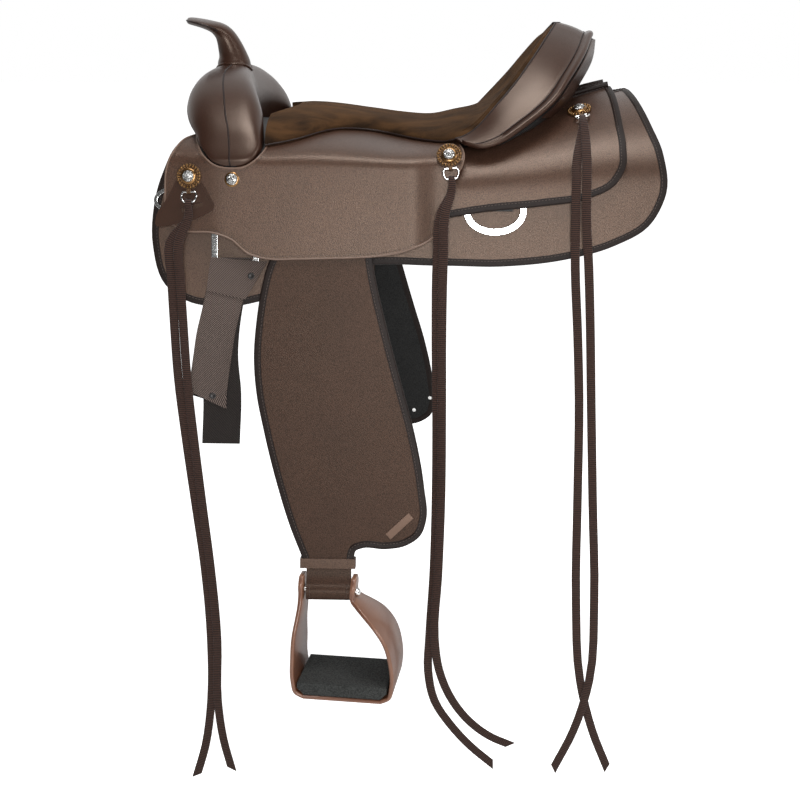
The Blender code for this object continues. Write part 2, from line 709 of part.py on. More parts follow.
def make_cantle_boxing():
    """The smooth band round the cantle's edge, with the welt sewn along its back edge."""
    stations = rim_stations()
    inner = Vector((0.15, 0, 0.06))
    rings = []
    last = len(stations) - 1
    for i, (rim, welt) in enumerate(stations):
        ahead = (stations[min(i + 1, last)][0] - stations[max(i - 1, 0)][0]).normalized()
        across = (welt - rim).normalized()
        out = ahead.cross(across).normalized()
        if out.dot(rim - inner) < 0:
            out = -out
        start = rim + out * GAP
        low = welt + out * GAP
        middle = welt + out * (GAP + WELT_R)
        ring = [start, start + out * BOXING_T, low + out * BOXING_T - across * WELT_R]
        for turn in (100, 30, -40, -110):
            angle = math.radians(turn)
            ring.append(middle + WELT_R * (out * math.sin(angle) + across * math.cos(angle)))
        ring.append(low - across * WELT_R)
        rings.append(ring)
    finish_mesh("cantle_boxing", loft(rings), smooth_brown, sharp=50)


def cantle_block():
    """The padded board of the cantle, from the dish back to the welt."""
    rows = dish_rows()[len(SEAT_X):]
    normals = row_normals(dish_rows())[len(SEAT_X):]
    front = []
    back = []
    for r, (rim, middle, welt) in enumerate(CANTLE):
        deep = Vector(welt) - Vector(rim)
        front_row = []
        back_row = []
        for c, q in enumerate(ACROSS):
            way = Vector((deep.x, deep.y * q, deep.z))
            if r < len(CANTLE) - 1:
                way -= Vector((0, 0, 0.012)) * (1 - q * q)
            start = rows[r][c] - normals[r][c] * GAP
            front_row.append(start)
            back_row.append(start + way * 0.97)
        front.append(front_row[1:-1])
        back.append(back_row[1:-1])
    return grid_shell(front, back)


def tree_plate():
    """The moulded bars and ground seat, one sheet over the horse's back."""
    def top(x, drop):
        down = abs(drop)
        under_seat = -JOCKEY_T - GAP
        at_leathers = -(JOCKEY_LIFT - LEATHER_LIFT) - GAP
        blend = min(1.0, max(0.0, (down - 0.187) / 0.013))
        return under_seat + (at_leathers - under_seat) * blend

    def place(x, drop, level):
        side = NEAR if drop < 0 else OFF
        down = abs(drop)
        if level == 0:
            return skirt_form.place(x, down, GAP, side)
        rear = min(1.0, max(0.0, (x + 0.018) / 0.028))
        high = jockey_form.place(x, down, top(x, drop), side)
        low = skirt_form.place(x, down, REAR_JOCKEY_LIFT - GAP, side)
        edge = skirt_form.place(x, down, LEATHER_LIFT - GAP, side)
        spot = high if down < 0.1871 else edge.lerp(high, max(0.0, (0.200 - down) / 0.013))
        return spot.lerp(low, rear)

    side_line = [(-0.262, 0.150), (-0.262, 0.208), (-0.255, 0.2255), (-0.240, BAR_END)]
    rear_line = [(0.150, BAR_END - 0.007), (0.183, 0.190), (0.196, 0.130)]
    foot = [(0.030, BAR_END), (0.050, BAR_END - 0.007)]
    rim = smooth_line(side_line, 2) + [Vector(point) for point in foot] + smooth_line(rear_line, 2)
    rim += [Vector((x, -drop)) for x, drop in reversed(rim)]
    return panel(rim, 0, 1, place, True)


def lug(side, bar_x, bar_z, width, dee_top, slack, top_z, vertical=False):
    """A strap end of the tree, folded round a dee's straight bar; its shape is a closed sleeve."""
    outer_in = LUG_IN
    outer_out = dee_top + slack + LUG_T
    hole_in = DEE_LIFT - slack
    hole_out = dee_top + slack
    if vertical:
        rim = [(bar_x - 0.0085, outer_in), (top_z, outer_in), (top_z, outer_out), (bar_x - 0.0085, outer_out)]
        hole = [(bar_x - 0.0060, hole_in), (bar_x + 0.0060, hole_in), (bar_x + 0.0060, hole_out),
                (bar_x - 0.0060, hole_out)]
        return panel(rim, bar_z - width / 2, bar_z + width / 2,
                     lambda x, lift, z: flat(x, z, lift, side), holes=(hole,))
    rim = [(bar_z - 0.0085, outer_in), (top_z, outer_in), (top_z, outer_out), (bar_z - 0.0085, outer_out)]
    hole = [(bar_z - 0.0060, hole_in), (bar_z + 0.0060, hole_in), (bar_z + 0.0060, hole_out),
            (bar_z - 0.0060, hole_out)]
    return panel(rim, bar_x - width / 2, bar_x + width / 2,
                 lambda z, lift, x: flat(x, z, lift, side), holes=(hole,))


FRONT_DEE_X = -0.2185
FRONT_DEE_TOP_Z = -0.045
FRONT_DEE_LOW_Z = -0.113
FRONT_DEE_HALF = 0.0265
FRONT_DEE_BAND = 0.0080
REAR_DEE_X = 0.1105
REAR_DEE_BAR_Z = -0.0365
REAR_DEE_HALF = 0.0355
REAR_DEE_LOW = -0.0710
REAR_DEE_BAND = 0.0085
BREAST_DEE_X = -0.2870
BREAST_DEE_Z = -0.034
BREAST_DEE_HALF = 0.0150
BREAST_DEE_FRONT = -0.3200
BREAST_DEE_BAND = 0.0050


def make_tree():
    """Bars, ground seat, fork and cantle of the moulded tree, with the rigging lugs on it."""
    rear_room = outline(REAR_JOCKEY_RIM[:2], REAR_JOCKEY_RIM[1:], REAR_JOCKEY_RIM[-1:] + REAR_JOCKEY_TOP[:1],
                        REAR_JOCKEY_TOP, steps=2)
    tree = finish_mesh("tree", tree_plate(), tree_black)
    fork = cutter("fork_helper", swell_solid(SWELL_COVER_T + 0.0015, 0.007, len(SWELL) - 6))
    boolean(tree, fork, "UNION")
    block = cutter("cantle_helper", cantle_block())
    for side, word in SIDES:
        shape = panel(inset(rear_room, -0.001), -0.003, REAR_JOCKEY_TOP_LIFT + GAP, on_skirt(side), True)
        room = cutter("rear_jockey_room_" + word, shape)
        boolean(block, room, "DIFFERENCE")
    span = [(-0.02, -0.25), (0.30, -0.25), (0.30, 0.25), (-0.02, 0.25)]
    under = panel(span, -0.030, GAP + 0.0002, lambda x, drop, lift: skirt_form.place(
        x, abs(drop), lift, NEAR if drop < 0 else OFF), True)
    boolean(block, cutter("skirt_room", under), "DIFFERENCE")
    for side, word in SIDES:
        shape = panel(seat_jockey_rim(), -JOCKEY_T - GAP, 0.0015, on_jockey(side), True)
        boolean(block, cutter("jockey_room_" + word, shape), "DIFFERENCE")
    boolean(tree, block, "UNION")
    for side, word in SIDES:
        front = cutter("front_lug_" + word, lug(side, FRONT_DEE_X, FRONT_DEE_TOP_Z, 0.022, FRONT_DEE_TOP,
                                                STRAP_SLACK, -0.021))
        boolean(tree, front, "UNION")
        rear = cutter("rear_lug_" + word, lug(side, REAR_DEE_X, REAR_DEE_BAR_Z, 0.045, REAR_DEE_TOP, GAP, -0.023))
        boolean(tree, rear, "UNION")
        breast = cutter("breast_lug_" + word, lug(side, BREAST_DEE_X, BREAST_DEE_Z, 0.016, REAR_DEE_TOP, GAP,
                                                  -0.2475, vertical=True))
        boolean(tree, breast, "UNION")
    return tree


def make_swell():
    """The cover of the fork: a hollow shell with its two tongues down in the jockeys' cuts."""
    top = swell_rows(0.0)
    inside = swell_rows(SWELL_COVER_T)
    cover = finish_mesh("swell_cover", grid_shell(top, inside), smooth_brown, sharp=60)
    return cover


# Horn: rings up its bent neck and out along the cap, as (x, z, lean, half depth, half width)
HORN = [(-0.2455, 0.1150, 0, 0.0235, 0.0250), (-0.2455, 0.1300, 0, 0.0222, 0.0235),
        (-0.2465, 0.1385, 6, 0.0195, 0.0205), (-0.2512, 0.1530, 17, 0.0162, 0.0185),
        (-0.2572, 0.1650, 36, 0.0132, 0.0195), (-0.2650, 0.1730, 58, 0.0100, 0.0260),
        (-0.2740, 0.1776, 73, 0.0074, 0.0335), (-0.2855, 0.1811, 78, 0.0062, 0.0350),
        (-0.2960, 0.1834, 79, 0.0055, 0.0300), (-0.3035, 0.1847, 80, 0.0048, 0.0200),
        (-0.3070, 0.1852, 80, 0.0036, 0.0090)]


def make_horn():
    rings = []
    for x, z, lean, deep, wide in HORN:
        angle = math.radians(lean)
        back = Vector((math.cos(angle), 0, math.sin(angle)))
        rings.append([Vector((x, 0, z)) + back * deep * math.cos(turn) + Vector((0, wide * math.sin(turn), 0))
                      for turn in (2 * math.pi * k / 14 for k in range(14))])
    horn = finish_mesh("horn", loft(rings), smooth_brown, sharp=50)
    room = cutter("swell_room", swell_solid(-GAP, 0.004))
    boolean(horn, room, "DIFFERENCE")


def dee_band(rim_points, hole_points, low, high, side):
    return panel(rim_points, low, high, on_flat(side), holes=(hole_points,))


def d_outline(half, reach, band, steps=10):
    """Outline of a flat dee in its own plane: a straight bar, then a round bow below it."""
    lines = []
    for grow in (band / 2, -band / 2):
        line = [(-half - grow, grow), (half + grow, grow)]
        for k in range(steps + 1):
            turn = math.pi * k / steps
            line.append(((half + grow) * math.cos(turn), -band - (reach - band + grow) * math.sin(turn)))
        lines.append(line)
    return lines


def ring_outline(grow, corner):
    """Outline of the front dee: a straight bar above, round shoulders, and a straight bar below."""
    half = FRONT_DEE_HALF + grow
    top = FRONT_DEE_TOP_Z + grow
    low = FRONT_DEE_LOW_Z - grow
    right = [(half * 0.48, top), (half * 0.86, top - half * 0.22), (half, top - half * 0.66)]
    foot = [(half, low + corner), (half - corner * 0.3, low + corner * 0.3), (half - corner, low)]
    left = [(-x, z) for x, z in reversed(right)]
    heel = [(-x, z) for x, z in reversed(foot)]
    line = outline([left[-1], right[0]], right, [right[-1], foot[0]], foot, [foot[-1], heel[0]], heel,
                   [heel[-1], left[0]], left, steps=2)
    return [(FRONT_DEE_X + point.x, point.y) for point in line]


front_rigging = {}


def make_rigging():
    """Front dees, rear dees and breast collar dees, flat steel in the folded lugs."""
    for side, word in SIDES:
        pivot = flat(FRONT_DEE_X, FRONT_DEE_TOP_Z, DEE_LIFT + FRONT_DEE_T / 2, side)
        carrier = pivot_empty("front_rigging_pivot_" + word, pivot)
        front_rigging[side] = carrier
        shape = dee_band(ring_outline(FRONT_DEE_BAND / 2, 0.010), ring_outline(-FRONT_DEE_BAND / 2, 0.003),
                         DEE_LIFT, FRONT_DEE_TOP, side)
        finish_mesh("front_rigging_dee_" + word, shape, steel, pivot, carrier)

        pivot = flat(REAR_DEE_X, REAR_DEE_BAR_Z, DEE_LIFT, side)
        reach = REAR_DEE_BAR_Z - REAR_DEE_LOW
        outer, inner = d_outline(REAR_DEE_HALF, reach, REAR_DEE_BAND)
        rim = [(REAR_DEE_X + a, REAR_DEE_BAR_Z + b) for a, b in outer]
        hole = [(REAR_DEE_X + a, REAR_DEE_BAR_Z + b) for a, b in inner]
        shape = dee_band(rim, hole, DEE_LIFT, REAR_DEE_TOP, side)
        finish_mesh("rear_rigging_dee_" + word, shape, steel, pivot)

        pivot = flat(BREAST_DEE_X, BREAST_DEE_Z, DEE_LIFT, side)
        reach = BREAST_DEE_X - BREAST_DEE_FRONT
        outer, inner = d_outline(BREAST_DEE_HALF, reach, BREAST_DEE_BAND)
        rim = [(BREAST_DEE_X + b, BREAST_DEE_Z + a) for a, b in outer]
        hole = [(BREAST_DEE_X + b, BREAST_DEE_Z + a) for a, b in inner]
        shape = dee_band(rim, hole, DEE_LIFT, REAR_DEE_TOP, side)
        finish_mesh("breast_collar_dee_" + word, shape, steel, pivot)


def out_of(side):
    return Vector((0, side * math.cos(LEAN), math.sin(LEAN)))


def up_of(side):
    return Vector((0, -side * math.sin(LEAN), math.cos(LEAN)))


def make_latigo():
    """The long near latigo and the shorter off billet, folded over the front dees' low bars."""
    bar = FRONT_DEE_LOW_Z
    middle = DEE_LIFT + FRONT_DEE_T / 2
    inner = DEE_LIFT - STRAP_SLACK - LATIGO_T / 2
    outer = FRONT_DEE_TOP + STRAP_SLACK + LATIGO_T / 2
    rest = LATIGO_T + GAP
    front_run = [(-0.2375, -0.172), (-0.2450, -0.200), (-0.2505, -0.230), (-0.2560, -0.262), (-0.2600, -0.290)]
    back_run = [(-0.2440, -0.350), (-0.2400, -0.280), (-0.2425, -0.230), (-0.2400, -0.200), (-0.2355, -0.172)]
    radius = outer - middle
    for side, name in ((NEAR, "latigo_near"), (OFF, "billet_off")):
        hang = flat(0, -0.169, 0.0006 + LATIGO_T / 2, side).y
        longest = -0.345 if side == NEAR else -0.245
        route = [((x, hang, z), -out_of(side)) for x, z in back_run if z > longest]
        route += [(flat(-0.2300, -0.146, inner + 0.0004, side), -out_of(side)),
                  (flat(-0.2215, bar - 0.006, inner, side), -out_of(side))]
        for k in range(7):
            turn = math.pi * k / 6
            look = math.sin(turn) * up_of(side) - math.cos(turn) * out_of(side)
            route.append((flat(FRONT_DEE_X, bar + 0.0042 + radius * math.sin(turn), middle - radius * math.cos(turn),
                               side), look))
        loop = len(route)
        route += [(flat(-0.2225, bar - 0.004, outer, side), out_of(side)),
                  (flat(-0.2310, -0.146, inner + rest + 0.0012, side), out_of(side))]
        route += [((x, hang + side * rest, z), out_of(side)) for x, z in front_run if z > longest + 0.02]
        points = [Vector(point) for point, _ in route]
        faces = [look for _, look in route]
        widths = [LATIGO_LOOP_W if loop - 7 <= i < loop else LATIGO_W for i in range(len(points))]
        shape = strap(points, faces, widths, LATIGO_T, slants=(0, -0.012 if side == NEAR else 0))
        finish_mesh(name, shape, webbing_dark, parent_place(front_rigging[side]), front_rigging[side])


def rosette_shape(frame, base):
    """A scalloped leather rosette with an eye at its foot for the small dee."""
    teeth = 11
    points = []
    for k in range(teeth * 2):
        turn = math.pi * (k + 0.5) / teeth
        radius = ROSETTE_R * (0.93 if k % 2 == 0 else 1.0)
        points.append((radius * math.cos(turn), radius * math.sin(turn)))
    hole = [((CONCHO_POST_R + GAP) * math.cos(2 * math.pi * k / 10),
             (CONCHO_POST_R + GAP) * math.sin(2 * math.pi * k / 10)) for k in range(10)]
    return panel(points, base, base + ROSETTE_T, lambda a, b, h: frame @ Vector((a, b, h)), holes=(hole,))


EYE_DOWN = ROSETTE_R + 0.0032
EYE_R = 0.0028
EYE_BORE = WIRE_R + 0.0004
EYE_W = 0.0055
DEE_HALF = 0.0085
DEE_DROP = 0.0125


def eye_shape(frame, base):
    """The eye: a short sleeve across the frame with a shank up into the rosette."""
    height = base + EYE_R
    rim = [(-EYE_DOWN + EYE_R * math.cos(turn), height + EYE_R * math.sin(turn))
           for turn in (math.radians(60 + 300 * k / 11) for k in range(12))]
    rim += [(-ROSETTE_R + 0.003, base + 0.0003), (-ROSETTE_R + 0.003, base + ROSETTE_T - 0.0003)]
    hole = [(-EYE_DOWN + EYE_BORE * math.cos(turn), height + EYE_BORE * math.sin(turn))
            for turn in (2 * math.pi * k / 8 for k in range(8))]
    return panel(rim, -EYE_W / 2, EYE_W / 2, lambda b, h, a: frame @ Vector((a, b, h)), holes=(hole,))


def string_dee_line(frame, base, tilt):
    """Middle line of the small dee, hanging from the eye and tipped out a little."""
    turn = Matrix.Rotation(-tilt, 4, "X")
    middle = Matrix.Translation((0, -EYE_DOWN, base + EYE_R))
    corners = [(-DEE_HALF + 0.001, 0), (0, 0), (DEE_HALF - 0.001, 0), (DEE_HALF + 0.0008, -0.0035),
               (DEE_HALF, -DEE_DROP + 0.003), (DEE_HALF - 0.0022, -DEE_DROP), (0, -DEE_DROP),
               (-DEE_HALF + 0.0022, -DEE_DROP), (-DEE_HALF, -DEE_DROP + 0.003), (-DEE_HALF - 0.0008, -0.0035)]
    whole = frame @ middle @ turn
    return whole, [whole @ Vector((a, b, 0)) for a, b in corners]


# Places of the rosettes: form, x, drop, lift, how far each is turned down and its dee tipped out
CONCHO_PLACES = {"front": (jockey_form, -0.2735, 0.2330, TAB_T + 2 * GAP, 0, 14),
                 "mid": (jockey_form, 0.0520, 0.1955, 0.0022, 22, -20),
                 "rear": (skirt_form, 0.2215, 0.1055, REAR_JOCKEY_TOP_LIFT + 2 * GAP, 0, 14)}
dee_frames = {}


def make_conchos():
    """Rosettes, conchos and string dees at six places, and two plain screw conchos."""
    for side, word in SIDES:
        for spot in CONCHO_PLACES:
            form, x, drop, base, turned, tipped = CONCHO_PLACES[spot]
            frame = form.frame(x, drop, 0.0, side) @ Matrix.Rotation(math.radians(turned), 4, "X")
            name = spot + "_" + word
            rosette = finish_mesh("rosette_" + name, rosette_shape(frame, base), gilt)
            eye = cutter("eye_" + name, eye_shape(frame, base))
            boolean(rosette, eye, "UNION")
            top = base + ROSETTE_T + GAP
            foot = GAP if spot == "front" else base
            profile = [(0, foot), (CONCHO_POST_R, foot), (CONCHO_POST_R, top), (COLLAR_R, top),
                       (COLLAR_R, top + 0.0016), (CONCHO_R, top + 0.0026), (CONCHO_R, top + 0.0040),
                       (CONCHO_R * 0.62, top + 0.0060), (0, top + 0.0067)]
            finish_mesh("concho_" + name, lathe(profile, frame, 10), steel)
            whole, line = string_dee_line(frame, base, math.radians(tipped))
            dee_frames[(spot, side)] = whole
            pivot = whole.translation
            carrier = pivot_empty("string_dee_pivot_" + name, pivot)
            finish_mesh("string_dee_" + name, tube(line, WIRE_R, 6, closed=True), steel, pivot, carrier)
        frame = jockey_form.frame(-0.2198, 0.2360, 0.0, side)
        profile = [(0, GAP), (0.0088, GAP), (0.0090, 0.0012), (0.0072, 0.0022), (0.0045, 0.0036), (0, 0.0042)]
        finish_mesh("screw_concho_" + word, lathe(profile, frame, 12), steel)


TAB_RIM = [(-0.2615, -0.004), (-0.2500, -0.024), (-0.2420, -0.041), (-0.2600, -0.053), (-0.2880, -0.0605),
           (-0.3180, -0.0600), (-0.3170, -0.052), (-0.3020, -0.028), (-0.2880, -0.004), (-0.2750, 0.0085),
           (-0.2615, -0.004)]
TAB_SLOT = ((-0.2830, -0.0470), (-0.2560, -0.0395), (-0.2570, -0.0345), (-0.2840, -0.0420))


def make_latigo_keepers():
    """The bell-shaped latigo keeper behind each front concho, with its slot."""
    for side, word in SIDES:
        form, x, drop = CONCHO_PLACES["front"][:3]
        spot = form.frame(x, drop, 0.0, side).translation
        rim = [(a, drop + (spot.z - b) / math.cos(LEAN)) for a, b in smooth_line(TAB_RIM, 2)[:-1]]
        slot = [(a, drop + (spot.z - b) / math.cos(LEAN)) for a, b in TAB_SLOT]
        hole_r = CONCHO_POST_R + 2.5 * GAP
        hole = [(x + hole_r * math.cos(t), drop + hole_r * math.sin(t))
                for t in (2 * math.pi * k / 10 for k in range(10))]
        shape = panel(rim, GAP, GAP + TAB_T, on_jockey(side), True, holes=(slot, hole))
        finish_mesh("latigo_keeper_" + word, shape, smooth_brown, form.place(x, drop, GAP, side))


FENDER_LEFT = [(-0.1845, FLEX_Z), (-0.190, -0.185), (-0.193, -0.224), (-0.190, -0.272), (-0.181, -0.318),
               (-0.163, -0.390), (-0.147, -0.441), (-0.131, -0.481)]
FENDER_RIGHT = [(-0.066, -0.481), (-0.063, -0.471), (-0.055, -0.4675), (-0.024, -0.4680), (0.002, -0.463),
                (0.020, -0.450), (0.027, -0.430), (0.024, -0.390), (0.010, -0.317), (-0.006, -0.260),
                (-0.024, -0.194), (-0.0355, FLEX_Z)]
HEAD_LEFT = [(SWING_X - HEAD_R, SWING_Z - 0.004), (-0.131, -0.060), (-0.162, -0.086), (-0.174, -0.109),
             (-0.1825, -0.138), (-0.1845, FLEX_Z)]
HEAD_RIGHT = [(-0.0355, FLEX_Z), (-0.0385, -0.135), (-0.0430, -0.110), (-0.046, -0.080), (-0.050, -0.055),
              (SWING_X + HEAD_R, SWING_Z - 0.004)]

# Stirrup: stations round the bow from the near ear, as (x, z) from the bolt and half depth
STIRRUP = [(-0.0340, 0.0210, 0.0100), (-0.0340, 0.0130, 0.0165), (-0.0340, 0.0, 0.0180),
           (-0.0342, -0.0120, 0.0215), (-0.0362, -0.0300, 0.0300), (-0.0395, -0.0520, 0.0385),
           (-0.0408, -0.0800, 0.0440), (-0.0408, -0.1130, 0.0440), (-0.0375, -0.1265, 0.0440),
           (-0.0270, -0.1323, 0.0440), (0.0740, -0.1323, 0.0440), (0.0845, -0.1265, 0.0440),
           (0.0878, -0.1130, 0.0440), (0.0868, -0.0800, 0.0440), (0.0790, -0.0535, 0.0420),
           (0.0655, -0.0345, 0.0380), (0.0510, -0.0215, 0.0300), (0.0395, -0.0120, 0.0220),
           (0.0345, -0.0070, 0.0190), (0.0340, 0.0130, 0.0165), (0.0340, 0.0210, 0.0100)]


def make_fenders():
    """Stirrup leathers, fenders, their keepers and the stirrups, which swing and flex."""
    for side, word in SIDES:
        swing = pivot_empty("fender_swing_pivot_" + word, flat(SWING_X, SWING_Z, FENDER_LIFT, side))
        flex_place = flat(NECK_X, FLEX_Z, FENDER_TOP + GAP, side)
        flex = pivot_empty("fender_flex_pivot_" + word, flex_place, swing)
        top_arc = [(SWING_X + HEAD_R * math.cos(turn), SWING_Z + HEAD_R * math.sin(turn))
                   for turn in (math.pi * k / 8 for k in range(9))]
        rim = top_arc[:] + [Vector(p) for p in smooth_line(HEAD_LEFT, 2)] + [Vector(p) for p in
                                                                            smooth_line(HEAD_RIGHT, 2)]
        shape = panel(rim, LEATHER_LIFT, FENDER_TOP, on_flat(side))
        finish_mesh("fender_top_" + word, shape, leather_brown, parent_place(swing), swing)

        gap_z = FLEX_Z - GAP
        rim = smooth_line([(FENDER_LEFT[0][0], gap_z)] + FENDER_LEFT[1:], 2)
        rim += [Vector((-0.131, KEEPER_LOW + 0.002)), Vector((-0.066, KEEPER_LOW + 0.002))]
        rim += smooth_line(FENDER_RIGHT[:-1] + [(FENDER_RIGHT[-1][0], gap_z)], 2)
        shape = panel(rim, FENDER_LIFT, FENDER_TOP, on_flat(side))
        finish_mesh("fender_" + word, shape, leather_brown, flex_place, flex)

        make_stirrup_leather(side, word, flex, flex_place, gap_z)
        make_keeper(side, word, flex, flex_place)
        make_stirrup(side, word, flex)


def make_stirrup_leather(side, word, flex, flex_place, gap_z):
    """The strap behind the fender, folded round the stirrup's bolt."""
    middle = (LEATHER_LIFT + FENDER_TOP) / 2
    half_deep = 0.0105
    half_high = 0.0115
    shoulder = BOLT_Z + 0.016
    rim = [(LEATHER_LIFT + LEATHER_T, gap_z), (LEATHER_LIFT + LEATHER_T, shoulder + 0.004)]
    for k in range(13):
        turn = math.radians(62 - 304 * k / 12)
        rim.append((middle + half_deep * math.cos(turn), BOLT_Z + half_high * math.sin(turn)))
    rim += [(LEATHER_LIFT, shoulder + 0.004), (LEATHER_LIFT, gap_z)]
    hole = [(middle + (half_deep - 0.0027) * math.cos(turn), BOLT_Z + (half_high - 0.006) * math.sin(turn))
            for turn in (2 * math.pi * k / 12 for k in range(12))]
    shape = panel(rim, NECK_X - LEATHER_W / 2, NECK_X + LEATHER_W / 2,
                  lambda lift, z, x: flat(x, z, lift, side), holes=(hole,))
    finish_mesh("stirrup_leather_" + word, shape, smooth_brown, flex_place, flex)


def make_keeper(side, word, flex, flex_place):
    """The leather loop that holds fender and stirrup leather together."""
    inside = [(-0.1325, LEATHER_LIFT - GAP), (-0.0645, LEATHER_LIFT - GAP),
              (-0.0645, FENDER_TOP + GAP), (-0.1325, FENDER_TOP + GAP)]
    outside = [(x + math.copysign(KEEPER_T, x - NECK_X), lift + math.copysign(KEEPER_T, lift - FENDER_LIFT))
               for x, lift in inside]
    shape = panel(outside, KEEPER_LOW, KEEPER_TOP, lambda x, lift, z: flat(x, z, lift, side), holes=(inside,))
    finish_mesh("fender_keeper_" + word, shape, leather_brown, flex_place, flex)


def make_stirrup(side, word, flex):
    """The bow, its foam tread and the bolt through its ears."""
    bolt_place = flat(NECK_X, BOLT_Z, (LEATHER_LIFT + FENDER_TOP) / 2, side)
    hinge = pivot_empty("stirrup_pivot_" + word, bolt_place, flex)
    turned = Matrix.Translation(bolt_place) @ Matrix.Rotation(side * STIRRUP_TURN, 4, "Z")
    rings = []
    last = len(STIRRUP) - 1
    for i, (x, z, deep) in enumerate(STIRRUP):
        before = STIRRUP[max(i - 1, 0)]
        after = STIRRUP[min(i + 1, last)]
        ahead = Vector((after[0] - before[0], 0, after[1] - before[1])).normalized()
        out = Vector((ahead.z, 0, -ahead.x)) * STIRRUP_T / 2
        spot = Vector((x, 0, z))
        rings.append([turned @ (spot + out + Vector((0, deep, 0))), turned @ (spot + out - Vector((0, deep, 0))),
                      turned @ (spot - out - Vector((0, deep, 0))), turned @ (spot - out + Vector((0, deep, 0)))])
    stirrup = finish_mesh("stirrup_" + word, loft(rings), copper, bolt_place, hinge)
    along_x = turned @ Matrix.Rotation(math.pi / 2, 4, "Y")
    bore = BOLT_R + GAP
    shape = lathe([(0, -0.06), (bore, -0.06), (bore, 0.06), (0, 0.06)], along_x, 16)
    boolean(stirrup, cutter("bolt_bore_" + word, shape), "DIFFERENCE")

    floor = -0.1323 + STIRRUP_T / 2 + GAP
    left = -0.0408 + STIRRUP_T / 2 + 0.0028
    right = 0.0878 - STIRRUP_T / 2 - 0.0028
    chamfer = 0.009
    rim = [(left + chamfer, floor), (right - chamfer, floor), (right, floor + chamfer),
           (right, floor + PAD_T), (left, floor + PAD_T), (left, floor + chamfer)]
    shape = panel(rim, -PAD_DEPTH / 2, PAD_DEPTH / 2, lambda a, b, h: turned @ Vector((a, h, b)))
    finish_mesh("tread_pad_" + word, shape, rubber, bolt_place, hinge)

    face = EAR_GAP + STIRRUP_T + GAP + 0.0004
    profile = [(0, -face - 0.0036), (0.0050, -face - 0.0030), (0.0060, -face), (BOLT_R, -face), (BOLT_R, face),
               (0.0060, face), (0.0060, face + 0.0014), (0.0040, face + 0.0040), (0, face + 0.0046)]
    finish_mesh("stirrup_bolt_" + word, lathe(profile, along_x, 10), steel, bolt_place, hinge)


# Saddle strings on the near side, each one lace doubled through its dee: the points
# (x, z) of the leg that hangs behind, then those of the leg in front of it
STRINGS = {
    "front": ([(-0.2995, -0.085), (-0.2990, -0.130), (-0.2980, -0.190), (-0.2960, -0.260), (-0.2890, -0.345),
               (-0.2795, -0.440), (-0.2715, -0.520), (-0.2665, -0.630), (-0.2695, -0.720), (-0.2800, -0.790),
               (-0.2938, -0.837)],
              [(-0.2880, -0.085), (-0.2875, -0.130), (-0.2860, -0.190), (-0.2840, -0.260), (-0.2780, -0.345),
               (-0.2700, -0.440), (-0.2630, -0.520), (-0.2575, -0.630), (-0.2600, -0.720), (-0.2540, -0.780),
               (-0.2440, -0.825)]),
    "mid": ([(0.0428, -0.045), (0.0385, -0.100), (0.0375, -0.190), (0.0390, -0.300), (0.0390, -0.420),
             (0.0365, -0.530), (0.0315, -0.620), (0.0300, -0.670), (0.0390, -0.715), (0.0620, -0.752),
             (0.0900, -0.784), (0.1209, -0.811)],
            [(0.0480, -0.045), (0.0462, -0.100), (0.0450, -0.190), (0.0457, -0.300), (0.0457, -0.420),
             (0.0425, -0.530), (0.0385, -0.620), (0.0450, -0.668), (0.0640, -0.714), (0.0880, -0.745),
             (0.1150, -0.766), (0.1438, -0.779)]),
    "rear": ([(0.2110, -0.045), (0.2122, -0.114), (0.2180, -0.200), (0.2227, -0.286), (0.2253, -0.423),
              (0.2281, -0.566), (0.2375, -0.684), (0.2566, -0.759), (0.2795, -0.817)],
             [(0.2240, -0.045), (0.2290, -0.114), (0.2340, -0.200), (0.2381, -0.286), (0.2450, -0.423),
              (0.2522, -0.565), (0.2498, -0.683), (0.2305, -0.760), (0.2047, -0.819)])}
HANG = {"front": 0.2214, "mid": 0.2200, "rear": 0.2122}
LAYER = STRING_T + 0.0005
LOOP_W = 0.0085


def lace_top(spot, layer):
    """Where a leg lies between the dee and its free hang, with the way it faces."""
    out = Vector((0, -math.cos(LEAN), math.sin(LEAN)))
    if spot != "rear":
        return []
    points = []
    for drop, x_back, x_front in ((0.172, 0.2165, 0.2232), (0.187, 0.2135, 0.2236),
                                  (0.200, 0.2115, 0.2239), (0.212, 0.2110, 0.2240), (0.222, 0.2110, 0.2240)):
        x = x_front if layer else x_back
        height = REAR_JOCKEY_TOP_LIFT + STRING_T / 2 + 0.0010 + layer * LAYER
        here = skirt_form.place(x, drop, height, NEAR)
        above = skirt_form.place(x, drop, height + 0.01, NEAR)
        points.append((here, (above - here).normalized()))
    return points


